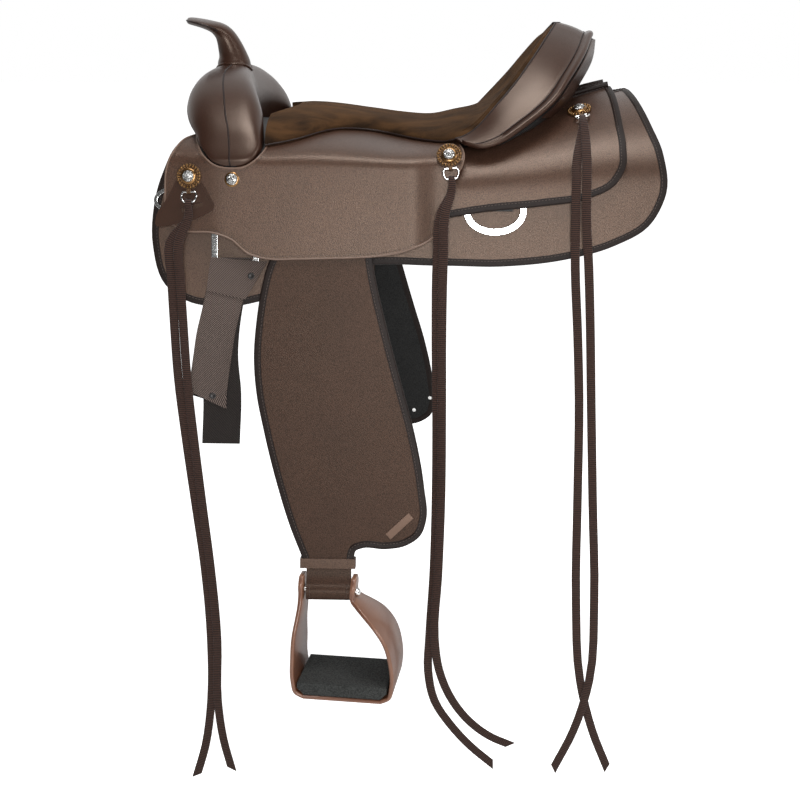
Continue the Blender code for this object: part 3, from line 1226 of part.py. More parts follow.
def make_strings():
    for spot, legs in STRINGS.items():
        whole = dee_frames[(spot, NEAR)]
        turn = whole.to_3x3()
        wrap = WIRE_R + STRING_T / 2 + GAP
        halves = []
        for layer, leg in enumerate(legs):
            sign = 1 if layer else -1
            half = []
            for up, out, way in ((wrap * 0.75, wrap * 0.66, (0, 0.75, 0.66)), (0, wrap, (0, 0, 1)),
                                 (-0.0045, wrap * 0.92, (0, 0, 1))):
                spot_at = whole @ Vector((0, -DEE_DROP + up, sign * out))
                half.append((spot_at, turn @ Vector((0, way[1], sign * way[2])), LOOP_W))
            if spot != "rear":
                below = whole @ Vector((0, -DEE_DROP, 0)) + Vector((0, -0.0010 - sign * 0.0013, -0.016))
                half.append((below, Vector((0, -sign, 0)), (LOOP_W + STRING_W) / 2))
            for point, way in lace_top(spot, layer):
                half.append((point, way * sign, STRING_W))
            for x, z in leg:
                reach = HANG[spot]
                if spot == "rear":
                    reach = min(reach, 0.2052 + (-0.045 - z) * 0.080)
                half.append((Vector((x, -reach - layer * LAYER, z)), Vector((0, -sign, 0)), STRING_W))
            halves.append(half)
        crest = (whole @ Vector((0, -DEE_DROP + wrap, 0)), turn @ Vector((0, 1, 0)), LOOP_W)
        route = list(reversed(halves[0])) + [crest] + halves[1]
        points = smooth_line([step[0] for step in route], 2)
        faces = []
        widths = []
        for i in range(len(points)):
            before = route[i // 2]
            after = route[min((i + 1) // 2, len(route) - 1)]
            faces.append((before[1] + after[1]) / 2)
            widths.append((before[2] + after[2]) / 2)
        top = len(halves[0]) * 2
        sway = [min(1.0, max(0.0, (abs(i - top) - 5) / 3)) for i in range(len(points))]
        shape = strap(points, faces, widths, STRING_T, (0.005, -0.005), sway)
        carrier = bpy.data.objects["string_dee_pivot_" + spot + "_near"]
        finish_mesh("string_" + spot, shape, lace_brown, parent_place(carrier), carrier)


make_tree()
make_swell()
make_horn()
make_skirts()
make_rear_jockeys()
make_seat_jockeys()
make_seat()
make_cantle_boxing()
make_rigging()
make_latigo()
make_latigo_keepers()
make_conchos()
make_fenders()
make_strings()
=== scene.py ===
"""Looks of a western trail saddle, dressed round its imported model.

The saddle hangs as if on a stand, the near side towards the camera. Metres, +Z up,
-X towards the horn, -Y the near side. Sections follow the saddle as it is put together.
"""
import json
import math
from functools import lru_cache

import bmesh
import bpy
import numpy as np
from mathutils import Matrix, Vector
from mathutils.bvhtree import BVHTree


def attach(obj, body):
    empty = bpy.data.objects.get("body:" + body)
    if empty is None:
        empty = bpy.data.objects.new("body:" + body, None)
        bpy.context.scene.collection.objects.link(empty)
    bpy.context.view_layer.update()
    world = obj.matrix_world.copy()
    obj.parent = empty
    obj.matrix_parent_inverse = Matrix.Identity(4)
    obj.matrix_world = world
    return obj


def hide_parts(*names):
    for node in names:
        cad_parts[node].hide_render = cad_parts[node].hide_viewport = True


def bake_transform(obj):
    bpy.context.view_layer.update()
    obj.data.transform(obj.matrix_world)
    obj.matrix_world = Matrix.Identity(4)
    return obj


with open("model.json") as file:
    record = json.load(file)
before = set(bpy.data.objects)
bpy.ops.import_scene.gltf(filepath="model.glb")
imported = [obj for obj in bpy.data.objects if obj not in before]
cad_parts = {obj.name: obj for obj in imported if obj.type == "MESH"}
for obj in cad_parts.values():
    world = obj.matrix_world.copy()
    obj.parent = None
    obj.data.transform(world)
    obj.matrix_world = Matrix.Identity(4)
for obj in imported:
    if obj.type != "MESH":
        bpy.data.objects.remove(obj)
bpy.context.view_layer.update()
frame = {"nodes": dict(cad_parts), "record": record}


# Moulded tree. The real one has its bars, fork and cantle in one piece of moulded plastic.
# Its node stays as it is, and gets the finish of matt moulded plastic with soft edges.
SIDES = ((-1, "near"), (1, "off"))
PLASTIC_BLACK = (38, 37, 36)


def linear(tone):
    """A colour as an eye reads it, 0 to 255, in the light values that shaders use."""
    return (*((value / 255) ** 2.2 for value in tone), 1.0)


def add_node(tree, kind, inputs=None, **settings):
    """One shader node, with its sockets linked or set."""
    made = tree.nodes.new(kind)
    for name, value in settings.items():
        setattr(made, name, value)
    for socket, source in (inputs or {}).items():
        if isinstance(source, bpy.types.NodeSocket):
            tree.links.new(source, made.inputs[socket])
        else:
            made.inputs[socket].default_value = source
    return made


def math_node(tree, operation, *values):
    """The answer of one sum on shader values."""
    return add_node(tree, "ShaderNodeMath", dict(enumerate(values)), operation=operation).outputs[0]


def ranged(tree, value, low, high, to_low=0.0, to_high=1.0):
    """A shader value carried from one range to another."""
    ends = {"Value": value, "From Min": low, "From Max": high, "To Min": to_low, "To Max": to_high}
    return add_node(tree, "ShaderNodeMapRange", ends).outputs["Result"]


def noise(tree, place, scale, detail):
    values = {"Vector": place, "Scale": scale, "Detail": detail}
    return add_node(tree, "ShaderNodeTexNoise", values).outputs["Fac"]


def mixed(tree, factor, first, second):
    """A colour between two others."""
    return add_node(tree, "ShaderNodeMix", {0: factor, 6: first, 7: second}, data_type="RGBA").outputs[2]


def scaled(tree, colour, amount):
    return add_node(tree, "ShaderNodeVectorMath", {0: colour, "Scale": amount}, operation="SCALE").outputs[0]


def object_place(tree):
    return add_node(tree, "ShaderNodeTexCoord").outputs["Object"]


def join(tree, shader, height, depth, **sources):
    """Link values to a shader's sockets, and a height to its bump."""
    bump = add_node(tree, "ShaderNodeBump", {"Height": height, "Distance": depth})
    tree.links.new(bump.outputs["Normal"], shader.inputs["Normal"])
    for socket, source in sources.items():
        tree.links.new(source, shader.inputs[socket.replace("_", " ")])


def new_group(name, inputs, outputs):
    """A shader node group with named sockets; gives the group, its inputs and its output node."""
    group = bpy.data.node_groups.new(name, "ShaderNodeTree")
    for label, value in inputs.items():
        kind = "NodeSocketColor" if isinstance(value, tuple) else "NodeSocketFloat"
        socket = group.interface.new_socket(name=label, in_out="INPUT", socket_type=kind)
        socket.default_value = value
    kinds = {"Color": "NodeSocketColor", "Normal": "NodeSocketVector"}
    for label in outputs:
        kind = kinds.get(label, "NodeSocketFloat")
        group.interface.new_socket(name=label, in_out="OUTPUT", socket_type=kind)
    entry = group.nodes.new("NodeGroupInput").outputs
    return group, entry, group.nodes.new("NodeGroupOutput")


def grain_group():
    """Pebbled grain: rounded pebbles with darker valleys, over slow changes of colour."""
    sockets = {"Pebble": 0.001, "Depth": 0.0001, "Tone": (0.5, 0.5, 0.5, 1), "Valley": (0.2, 0.2, 0.2, 1),
               "Roughness": 0.5}
    group, given, output = new_group("pebbled_grain", sockets, ("Color", "Roughness", "Normal"))
    place = object_place(group)
    scale = math_node(group, "DIVIDE", 1.0, given["Pebble"])
    pebbles = add_node(group, "ShaderNodeTexVoronoi", {"Vector": place, "Scale": scale, "Smoothness": 0.4},
                       feature="SMOOTH_F1")
    hollow = ranged(group, pebbles.outputs["Distance"], 0.15, 0.75)
    height = math_node(group, "MULTIPLY_ADD", noise(group, place, 2600.0, 2.0), 0.35, hollow)
    bump = add_node(group, "ShaderNodeBump", {"Height": height, "Distance": given["Depth"]}, invert=True)
    tone = mixed(group, hollow, given["Tone"], given["Valley"])
    shade = ranged(group, noise(group, place, 14.0, 3.0), 0.3, 0.7, 0.86, 1.12)
    results = {"Color": scaled(group, tone, shade), "Normal": bump.outputs["Normal"],
               "Roughness": math_node(group, "MULTIPLY_ADD", hollow, 0.12, given["Roughness"])}
    for label, source in results.items():
        group.links.new(source, output.inputs[label])
    return group


pebbled_grain = grain_group()


def new_finish(name, slot, **shader_values):
    """A material with its Principled BSDF, and the record's slot that it stands for."""
    finish = bpy.data.materials.new(name)
    finish.use_nodes = True
    finish["slot"] = slot
    shader = finish.node_tree.nodes["Principled BSDF"]
    for socket, value in shader_values.items():
        shader.inputs[socket.replace("_", " ")].default_value = value
    return finish, finish.node_tree, shader


def grained_finish(name, slot, tone, valley, roughness, pebble, depth, **shader_values):
    """A pebbled material; pebble and depth are in metres."""
    finish, tree, shader = new_finish(name, slot, **shader_values)
    finish.diffuse_color = linear(tone)
    values = {"Pebble": pebble, "Depth": depth, "Tone": linear(tone), "Valley": linear(valley),
              "Roughness": roughness}
    grain = add_node(tree, "ShaderNodeGroup", values, node_tree=pebbled_grain)
    for output, socket in (("Color", "Base Color"), ("Roughness", "Roughness"), ("Normal", "Normal")):
        tree.links.new(grain.outputs[output], shader.inputs[socket])
    return finish


def round_edges(thing, width, segments=3):
    """Small rounds on a piece's sharp edges, shaded evenly with its flats."""
    bevel = thing.modifiers.new("soft_edge", "BEVEL")
    bevel.width = width
    bevel.segments = segments
    bevel.limit_method = "ANGLE"
    bevel.angle_limit = math.radians(50)
    thing.modifiers.new("even_normals", "WEIGHTED_NORMAL").keep_sharp = True


moulded_plastic = grained_finish("moulded_plastic", "moulded_tree", PLASTIC_BLACK, (26, 25, 25), 0.55,
                                 0.0022, 0.00008)
tree_node = frame["nodes"]["tree"]
tree_node.data.materials.clear()
tree_node.data.materials.append(moulded_plastic)
tree_node.data.shade_smooth()
tree_node.modifiers.new("weld", "WELD").merge_threshold = 0.00001
round_edges(tree_node, 0.0004, 2)


# Skirts. Two wide sheets of grained synthetic leather, open along the spine, each with
# its edge bound in a folded tape that is sewn through, and a felt pad sewn underneath.
GAP = 0.0003
HALF_WIDTH = 0.190
SIDE_Z = -0.025
LEAN = math.radians(10)
SKIRT_T = 0.005
SKIRT_SOFT = 0.0008
FELT_SOFT = 0.0025
FELT_T = 0.008
FELT_INSET = 0.010
JOCKEY_CROWN_Z = 0.012
TAPE_W = 0.0085
TAPE_T = 0.0009
TAPE_TURN = 0.0012
TAPE_SOFT = 0.0005
TAPE_TUCK = 0.0002
SEAM_SHARE = 0.72
SHARP_BEYOND = 60
STITCH_STEP = 0.0042
STITCH_FORM = ((-0.5, 0.25, -0.5), (-0.3, 1.0, 0.3), (0.3, 1.0, 0.3), (0.5, 0.25, -0.5))
SKIRT_FRONT = [(-0.262, 0.032), (-0.275, 0.070), (-0.281, 0.110), (-0.299, 0.142), (-0.311, 0.193),
               (-0.322, 0.235), (-0.325, 0.290), (-0.309, 0.340), (-0.283, 0.357), (-0.240, 0.361),
               (-0.180, 0.347), (-0.100, 0.308), (-0.031, 0.297), (0.042, 0.300), (0.118, 0.310),
               (0.206, 0.313), (0.260, 0.306), (0.303, 0.286), (0.324, 0.247), (0.320, 0.196),
               (0.309, 0.154), (0.2975, 0.090), (0.293, 0.050), (0.290, 0.004)]
SKIRT_SPINE = [(0.290, 0.004), (0.268, 0.014), (0.240, 0.026), (0.190, 0.032), (-0.020, 0.034),
               (-0.262, 0.032)]


def along(points):
    """A smooth height that runs through a few chosen points."""
    xs = np.array([point[0] for point in points])
    ys = np.array([point[1] for point in points])
    slopes = np.gradient(ys, xs)

    def value(x):
        x = min(max(x, xs[0]), xs[-1])
        i = min(int(np.searchsorted(xs, x, side="right")) - 1, len(xs) - 2)
        step = xs[i + 1] - xs[i]
        t = (x - xs[i]) / step
        rise = ys[i] * (1 + 2 * t) * (1 - t) ** 2 + ys[i + 1] * t * t * (3 - 2 * t)
        return float(rise + step * (slopes[i] * t * (1 - t) ** 2 - slopes[i + 1] * t * t * (1 - t)))

    return value


def smooth_line(points, steps=6):
    """Points on a smooth line through the given ones, ends included."""
    points = [Vector(point) for point in points]
    spans = [b - a for a, b in zip(points, points[1:])]
    lengths = [span.length for span in spans]
    ways = [span / length for span, length in zip(spans, lengths)]
    slopes = [ways[0]]
    for i in range(1, len(ways)):
        near, far = lengths[i - 1], lengths[i]
        slopes.append((ways[i - 1] * far + ways[i] * near) / (near + far))
    slopes.append(ways[-1])
    line = []
    for i, length in enumerate(lengths):
        for step in range(steps):
            t = step / steps
            rise = points[i] * (1 + 2 * t) * (1 - t) ** 2 + points[i + 1] * t * t * (3 - 2 * t)
            line.append(rise + length * t * (1 - t) * (slopes[i] * (1 - t) - slopes[i + 1] * t))
    line.append(points[-1])
    return line


def outline(*stretches, steps=6):
    """A closed outline: each stretch is smooth, and stretches meet in corners."""
    line = []
    for stretch in stretches:
        if len(stretch) == 2:
            start, end = Vector(stretch[0]), Vector(stretch[1])
            count = max(1, int((end - start).length / 0.008))
            line += [start.lerp(end, step / count) for step in range(count)]
        else:
            line += smooth_line(stretch, steps)[:-1]
    return line


class BackForm:
    """The rounded shape that the leathers lie on, smooth along the saddle and down its side.

    A cross-section is a quarter ellipse from the ridge into a flat side that leans out.
    A place is given by x and by the drop, the distance down over the surface.
    """

    def __init__(self, ridge, crown_z, lift):
        self.ridge = ridge
        self.crown_z = crown_z
        self.lift = lift

    @lru_cache(maxsize=None)
    def section(self, x):
        rise = self.ridge(x) - self.crown_z
        reach = HALF_WIDTH + self.lift(x) / math.cos(LEAN) + (SIDE_Z - self.crown_z) * math.tan(LEAN)
        half = math.sqrt(reach ** 2 - (rise * math.tan(LEAN)) ** 2)
        turn = np.linspace(0, math.atan2(half, rise * math.tan(LEAN)), 120)
        steps = np.hypot(np.diff(half * np.sin(turn)), np.diff(rise * np.cos(turn)))
        return rise, half, turn, np.concatenate([[0], np.cumsum(steps)])

    def place(self, x, drop, lift=0.0, side=-1):
        rise, half, turns, drops = self.section(round(x, 5))
        angle = float(np.interp(drop, drops, turns))
        normal = Vector((0, rise * math.sin(angle), half * math.cos(angle))).normalized()
        spot = Vector((x, half * math.sin(angle), self.crown_z + rise * math.cos(angle)))
        beyond = max(0.0, drop - float(drops[-1]))
        spot += beyond * Vector((0, math.sin(LEAN), -math.cos(LEAN))) + lift * normal
        return Vector((spot.x, side * spot.y, spot.z))

    def frame(self, x, drop, lift=0.0, side=-1):
        """Local axes on the surface: y up the saddle and z outward."""
        here = self.place(x, drop, lift, side)
        ahead = self.place(x + 0.003, drop, lift, side) - self.place(x - 0.003, drop, lift, side)
        up = self.place(x, drop - 0.003, lift, side) - self.place(x, drop + 0.003, lift, side)
        ahead = ahead.normalized() * -side
        out = ahead.cross(up).normalized()
        turn = Matrix((ahead, out.cross(ahead), out)).transposed().to_4x4()
        return Matrix.Translation(here) @ turn

    def on(self, side):
        return lambda x, drop, lift: self.place(x, drop, lift, side)


skirt_ridge = along([(-0.33, 0.062), (-0.28, 0.055), (-0.186, 0.042), (-0.05, 0.034), (0.02, 0.034),
                     (0.10, 0.050), (0.20, 0.075), (0.269, 0.092), (0.32, 0.100)])
skirt_form = BackForm(skirt_ridge, SIDE_Z, lambda x: 0.0)


def laid_sheet(rim, low, high, place, cell=0.008, holes=()):
    """A closed sheet between two lifts, cut from a flat outline, gridded and laid by place."""
    cut = bmesh.new()
    loops = [[cut.verts.new((point[0], point[1], 0)) for point in loop] for loop in (rim, *holes)]
    if holes:
        edges = [cut.edges.new((loop[i - 1], loop[i])) for loop in loops for i in range(len(loop))]
        bmesh.ops.triangle_fill(cut, use_beauty=True, edges=edges)
    else:
        cut.faces.new(loops[0])
    for axis in (0, 1):
        values = [point[axis] for point in rim]
        way = (1, 0, 0) if axis == 0 else (0, 1, 0)
        count = int((max(values) - min(values)) / cell)
        for step in range(1, count + 1):
            spot = [0, 0, 0]
            spot[axis] = min(values) + (max(values) - min(values)) * step / (count + 1)
            everything = cut.verts[:] + cut.edges[:] + cut.faces[:]
            bmesh.ops.bisect_plane(cut, geom=everything, dist=0.00005, plane_co=spot, plane_no=way)
    cut.verts.index_update()
    shape = bmesh.new()
    lower = []
    upper = []
    for vert in cut.verts:
        a, b = vert.co.x, vert.co.y
        lower.append(shape.verts.new(place(a, b, low(a, b) if callable(low) else low)))
        upper.append(shape.verts.new(place(a, b, high(a, b) if callable(high) else high)))
    for face in cut.faces:
        index = [vert.index for vert in face.verts]
        shape.faces.new([upper[i] for i in index])
        shape.faces.new([lower[i] for i in reversed(index)])
    for edge in cut.edges:
        if len(edge.link_faces) == 1:
            a, b = (vert.index for vert in edge.verts)
            shape.faces.new((lower[a], lower[b], upper[b], upper[a]))
    cut.free()
    return shape


def inset(points, distance):
    """The same closed outline drawn in by a distance."""
    count = len(points)
    area = sum(points[i - 1][0] * points[i][1] - points[i][0] * points[i - 1][1] for i in range(count))
    turn = 1 if area > 0 else -1
    drawn = []
    for i in range(count):
        before = (Vector(points[i]) - Vector(points[i - 1])).normalized()
        after = (Vector(points[(i + 1) % count]) - Vector(points[i])).normalized()
        side = Vector((-(before + after)[1], (before + after)[0])) * turn
        side.normalize()
        bend = max(0.5, abs(side.dot(Vector((-after[1], after[0])))))
        drawn.append(Vector(points[i]) + side * distance / bend)
    return drawn


def loft(rings, closed=False, shape=None):
    """A closed skin over rings of the same number of points, in a new shape or a given one."""
    shape = bmesh.new() if shape is None else shape
    rows = [[shape.verts.new(point) for point in ring] for ring in rings]
    count = len(rows[0])
    for first, second in list(zip(rows, rows[1:])) + ([(rows[-1], rows[0])] if closed else []):
        for i in range(count):
            j = (i + 1) % count
            shape.faces.new((first[i], first[j], second[j], second[i]))
    if not closed:
        shape.faces.new(list(reversed(rows[0])))
        shape.faces.new(rows[-1])
    return shape


def bead(points, radius, sides=10, closed=False):
    """A round cord along points, with its frame carried along."""
    points = [Vector(point) for point in points]
    count = len(points)
    rings = []
    across = None
    for i, point in enumerate(points):
        if closed:
            ahead = points[(i + 1) % count] - points[i - 1]
        else:
            ahead = points[min(i + 1, count - 1)] - points[max(i - 1, 0)]
        ahead.normalize()
        if across is None:
            across = ahead.orthogonal().normalized()
        across = (across - ahead * across.dot(ahead)).normalized()
        other = ahead.cross(across)
        rings.append([point + radius * (math.cos(2 * math.pi * k / sides) * across
                                        + math.sin(2 * math.pi * k / sides) * other) for k in range(sides)])
    return loft(rings, closed=closed)


def bound_edge(rim, low, high, place, start=0, end=None, under=TAPE_T):
    """The folded tape round an outline, or round a stretch of it."""
    back = TAPE_W - TAPE_SOFT
    section = [(TAPE_W, high - TAPE_TUCK), (back, high + TAPE_T), (TAPE_TURN, high + TAPE_T),
               (-0.0004, high + TAPE_T * 0.5), (-0.0009, (low + high) / 2), (-0.0004, low - under * 0.5),
               (TAPE_TURN, low - under), (back, low - under), (TAPE_W, low + TAPE_TUCK)]
    lines = [inset(rim, distance) for distance, _ in section]
    span = range(len(rim)) if end is None else range(start, end)
    rings = [[place(line[i][0], line[i][1], lift) for line, (_, lift) in zip(lines, section)] for i in span]
    return loft(rings, closed=end is None)


def sewn_row(line, place, lift, step=STITCH_STEP, size=0.0030, thick=0.00034, closed=True):
    """A row of stitches: short tapered threads laid along a line."""
    points = [place(point[0], point[1], lift) for point in line]
    ups = [(place(point[0], point[1], lift + 0.002) - spot).normalized() for point, spot in zip(line, points)]
    if closed:
        points.append(points[0])
        ups.append(ups[0])
    reach = [0.0]
    for a, b in zip(points, points[1:]):
        reach.append(reach[-1] + (b - a).length)
    turns = [math.pi * n / 3 for n in range(6)]
    shape = bmesh.new()
    count = int(reach[-1] / step)
    for k in range(count):
        middle = (k + 0.5) * reach[-1] / count
        i = min(int(np.searchsorted(reach, middle, side="right")) - 1, len(points) - 2)
        spot = points[i].lerp(points[i + 1], (middle - reach[i]) / max(reach[i + 1] - reach[i], 1e-9))
        way = (points[i + 1] - points[i]).normalized()
        up = ups[i]
        across = way.cross(up).normalized()
        rings = []
        for shift, swell, rise in STITCH_FORM:
            centre = spot + way * size * shift + up * thick * rise
            rings.append([centre + thick * swell * (across * math.cos(turn) + up * math.sin(turn))
                          for turn in turns])
        loft(rings, shape=shape)
    return shape


def make_piece(name, shape, finish, body, stands_for=(), soft_edge=0.0, sharp=40, bend=None):
    """Turn a bmesh into a finished piece that rides on its body; with a bend given, it is left in place
    unattached.
    """
    bmesh.ops.remove_doubles(shape, verts=shape.verts, dist=0.000005)
    bmesh.ops.recalc_face_normals(shape, faces=shape.faces)
    mesh = bpy.data.meshes.new(name)
    shape.to_mesh(mesh)
    shape.free()
    mesh.shade_smooth()
    mesh.materials.append(finish)
    thing = bpy.data.objects.new(name, mesh)
    bpy.context.collection.objects.link(thing)
    if soft_edge:
        round_edges(thing, soft_edge)
    else:
        mesh.set_sharp_from_angle(angle=math.radians(sharp))
    if bend:
        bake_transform(thing)
    else:
        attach(thing, body)
    if stands_for:
        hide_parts(*stands_for)
    return thing


def bind_edge(name, word, rim, low, high, lay, span=(0, None), under=TAPE_T, body="saddle", bend=None):
    """Tape round a sheet's edge, or round a span of it, and the row that sews it."""
    start, end = span
    shape = bound_edge(rim, low, high, lay, start, end, under)
    make_piece("%s_binding_%s" % (name, word), shape, binding_tape, body, sharp=SHARP_BEYOND, bend=bend)
    seam = inset(rim, TAPE_W * SEAM_SHARE)
    shape = sewn_row(seam if end is None else seam[start:end], lay, high + TAPE_T, closed=end is None)
    make_piece("%s_stitches_%s" % (name, word), shape, dark_thread, body, bend=bend)


WARM_SHINE = (1.0, 0.80, 0.66, 1.0)
grained_leather = grained_finish("grained_leather", "grained_brown", (76, 55, 45), (44, 31, 25), 0.31, 0.0011,
                                 0.00009, Specular_IOR_Level=0.55, Specular_Tint=WARM_SHINE)
binding_tape = grained_finish("binding_tape", "grained_brown", (36, 26, 22), (25, 18, 15), 0.45, 0.0006,
                              0.00003, Specular_IOR_Level=0.2)
felt_underside = grained_finish("felt_underside", "felt", (50, 47, 45), (30, 28, 27), 0.95, 0.0016, 0.0005,
                                Sheen_Weight=0.4, Sheen_Roughness=0.6)
thread, _, _ = new_finish("sewing_thread", "grained_brown", Base_Color=linear((48, 38, 33)), Roughness=0.7)
dark_thread, _, _ = new_finish("dark_thread", "grained_brown", Base_Color=linear((66, 54, 48)), Roughness=0.7)

skirt_rim = outline(SKIRT_FRONT, SKIRT_SPINE)
felt_line = inset(SKIRT_FRONT + SKIRT_SPINE[1:-1], FELT_INSET)
felt_corner = len(SKIRT_FRONT)
felt_rim = outline(felt_line[:felt_corner], felt_line[felt_corner - 1:] + felt_line[:1], steps=4)
felt_top = -SKIRT_T - GAP
for side, word in SIDES:
    lay = skirt_form.on(side)
    make_piece("skirt_leather_" + word, laid_sheet(skirt_rim, -SKIRT_T, 0.0, lay), grained_leather, "saddle",
               ["skirt_" + word], soft_edge=SKIRT_SOFT)
    bind_edge("skirt", word, skirt_rim, -SKIRT_T, 0.0, lay)
    shape = laid_sheet(felt_rim, felt_top - FELT_T, felt_top, lay, 0.012)
    make_piece("skirt_lining_" + word, shape, felt_underside, "saddle", ["skirt_felt_" + word],
               soft_edge=FELT_SOFT)


# Rigging hardware. Flat dees of bright steel, cut and polished, in the folded lugs of the
# tree: the big front ones for the latigo, and smaller ones for a rear girth and breast collar.
STRAP_SLACK = 0.0004
LUG_T = 0.0017
FRONT_DEE_T = 0.003
REAR_DEE_T = 0.0026
DEE_LIFT = GAP + 0.0001 + LUG_T + STRAP_SLACK
FRONT_DEE_TOP = DEE_LIFT + FRONT_DEE_T
REAR_DEE_TOP = DEE_LIFT + REAR_DEE_T
FRONT_DEE_X = -0.2185
FRONT_DEE_TOP_Z = -0.045
FRONT_DEE_LOW_Z = -0.113
FRONT_DEE_HALF = 0.0265
FRONT_DEE_BAND = 0.0080
REAR_DEE_X = 0.1105
REAR_DEE_BAR_Z = -0.0365
REAR_DEE_HALF = 0.0355
REAR_DEE_REACH = 0.0345
REAR_DEE_BAND = 0.0085
BREAST_DEE_X = -0.2870
BREAST_DEE_Z = -0.034
BREAST_DEE_HALF = 0.0150
BREAST_DEE_REACH = 0.0330
BREAST_DEE_BAND = 0.0050


def flat(x, z, lift, side=-1):
    """A point over the flat side of the skirts, by its height and its lift from the skirt."""
    return Vector((x, side * (HALF_WIDTH + (SIDE_Z - z) * math.tan(LEAN) + lift / math.cos(LEAN)), z))


def on_flat(side):
    return lambda x, z, lift: flat(x, z, lift, side)


def dee_outline(half, reach, band, steps=28):
    """Outer and inner outline of a flat dee: a straight bar, then a round bow below it."""
    lines = []
    for grow in (band / 2, -band / 2):
        line = [(-half - grow, grow), (half + grow, grow)]
        for k in range(steps + 1):
            turn = math.pi * k / steps
            line.append(((half + grow) * math.cos(turn), -band - (reach - band + grow) * math.sin(turn)))
        lines.append(line)
    return lines


def ring_outline(grow, corner):
    """Outline of the front dee: a straight bar above, round shoulders, and a straight bar below."""
    half = FRONT_DEE_HALF + grow
    top = FRONT_DEE_TOP_Z + grow
    low = FRONT_DEE_LOW_Z - grow
    right = [(half * 0.48, top), (half * 0.86, top - half * 0.22), (half, top - half * 0.66)]
    foot = [(half, low + corner), (half - corner * 0.3, low + corner * 0.3), (half - corner, low)]
    left = [(-x, z) for x, z in reversed(right)]
    heel = [(-x, z) for x, z in reversed(foot)]
    line = outline([left[-1], right[0]], right, [right[-1], foot[0]], foot, [foot[-1], heel[0]], heel,
                   [heel[-1], left[0]], left, steps=6)
    return [(FRONT_DEE_X + point.x, point.y) for point in line]


def steel_finish(name, slot, tone, roughness):
    """Polished metal with faint fine scratches."""
    finish, tree, shader = new_finish(name, slot, Base_Color=linear(tone), Metallic=1.0)
    stretched = {"Vector": object_place(tree), "Scale": (1.0, 14.0, 1.0)}
    marks = noise(tree, add_node(tree, "ShaderNodeMapping", stretched).outputs[0], 260.0, 4.0)
    rough = ranged(tree, marks, 0.3, 0.7, roughness * 0.7, roughness * 1.5)
    join(tree, shader, marks, 0.00002, Roughness=rough)
    return finish


bright_steel = steel_finish("bright_steel", "bright_steel", (232, 232, 230), 0.14)

front_ring = [ring_outline(FRONT_DEE_BAND / 2, 0.010), ring_outline(-FRONT_DEE_BAND / 2, 0.003)]
rear_ring = [[(REAR_DEE_X + a, REAR_DEE_BAR_Z + b) for a, b in line]
             for line in dee_outline(REAR_DEE_HALF, REAR_DEE_REACH, REAR_DEE_BAND)]
breast_ring = [[(BREAST_DEE_X + b, BREAST_DEE_Z + a) for a, b in line]
               for line in dee_outline(BREAST_DEE_HALF, BREAST_DEE_REACH, BREAST_DEE_BAND)]
DEES = (("front_dee_", front_ring, FRONT_DEE_TOP, "front_rigging_", "front_rigging_dee_", 0.0009),
        ("rear_dee_", rear_ring, REAR_DEE_TOP, "rear_dee_", "rear_rigging_dee_", 0.0008),
        ("breast_dee_", breast_ring, REAR_DEE_TOP, "breast_dee_", "breast_collar_dee_", 0.0007))
for side, word in SIDES:
    for name, (outer, inner), dee_top, body, node, soft_edge in DEES:
        shape = laid_sheet(outer, DEE_LIFT, dee_top, on_flat(side), 0.05, holes=[inner])
        make_piece(name + word, shape, bright_steel, body + word, [node + word], soft_edge=soft_edge)


# Rear jockeys. A sheet of the same leather on each side behind the seat, over the skirts
# and the rear rigging, with the same bound and sewn edge.
REAR_JOCKEY_T = 0.003
REAR_LUG_TOP = REAR_DEE_TOP + GAP + LUG_T
REAR_JOCKEY_LIFT = REAR_LUG_TOP + GAP
REAR_JOCKEY_TOP_LIFT = REAR_JOCKEY_LIFT + REAR_JOCKEY_T
REAR_JOCKEY_RIM = [(0.201, 0.036), (0.265, 0.028), (0.267, 0.080), (0.270, 0.150), (0.273, 0.189),
                   (0.272, 0.211), (0.258, 0.231), (0.229, 0.241), (0.170, 0.242), (0.104, 0.239),
                   (0.020, 0.243)]
REAR_JOCKEY_TOP = [(0.020, 0.165), (0.060, 0.152), (0.110, 0.128), (0.150, 0.098), (0.180, 0.067),
                   (0.201, 0.036)]
ROLL_LINE = [(0.196, 0.040), (0.215, 0.034), (0.240, 0.0315), (0.262, 0.0305)]
ROLL_R = 0.0042
ROLL_RISE = 0.0034
bound_part = (REAR_JOCKEY_RIM[:2], REAR_JOCKEY_RIM[1:])
rear_jockey_rim = outline(*bound_part, REAR_JOCKEY_RIM[-1:] + REAR_JOCKEY_TOP[:1], REAR_JOCKEY_TOP)
bound_span = (0, len(outline(*bound_part)))
for side, word in SIDES:
    lay = skirt_form.on(side)
    shape = laid_sheet(rear_jockey_rim, REAR_JOCKEY_LIFT, REAR_JOCKEY_TOP_LIFT, lay)
    make_piece("rear_jockey_leather_" + word, shape, grained_leather, "saddle", ["rear_jockey_" + word],
               soft_edge=0.0006)
    bind_edge("rear_jockey", word, rear_jockey_rim, REAR_JOCKEY_LIFT, REAR_JOCKEY_TOP_LIFT, lay,
              bound_span, 0.0004)
    roll = [lay(x, drop, REAR_JOCKEY_TOP_LIFT + ROLL_RISE) for x, drop in smooth_line(ROLL_LINE, 6)]
    shape = bead(roll, ROLL_R, 12)
    make_piece("rear_jockey_roll_" + word, shape, binding_tape, "saddle", sharp=SHARP_BEYOND)


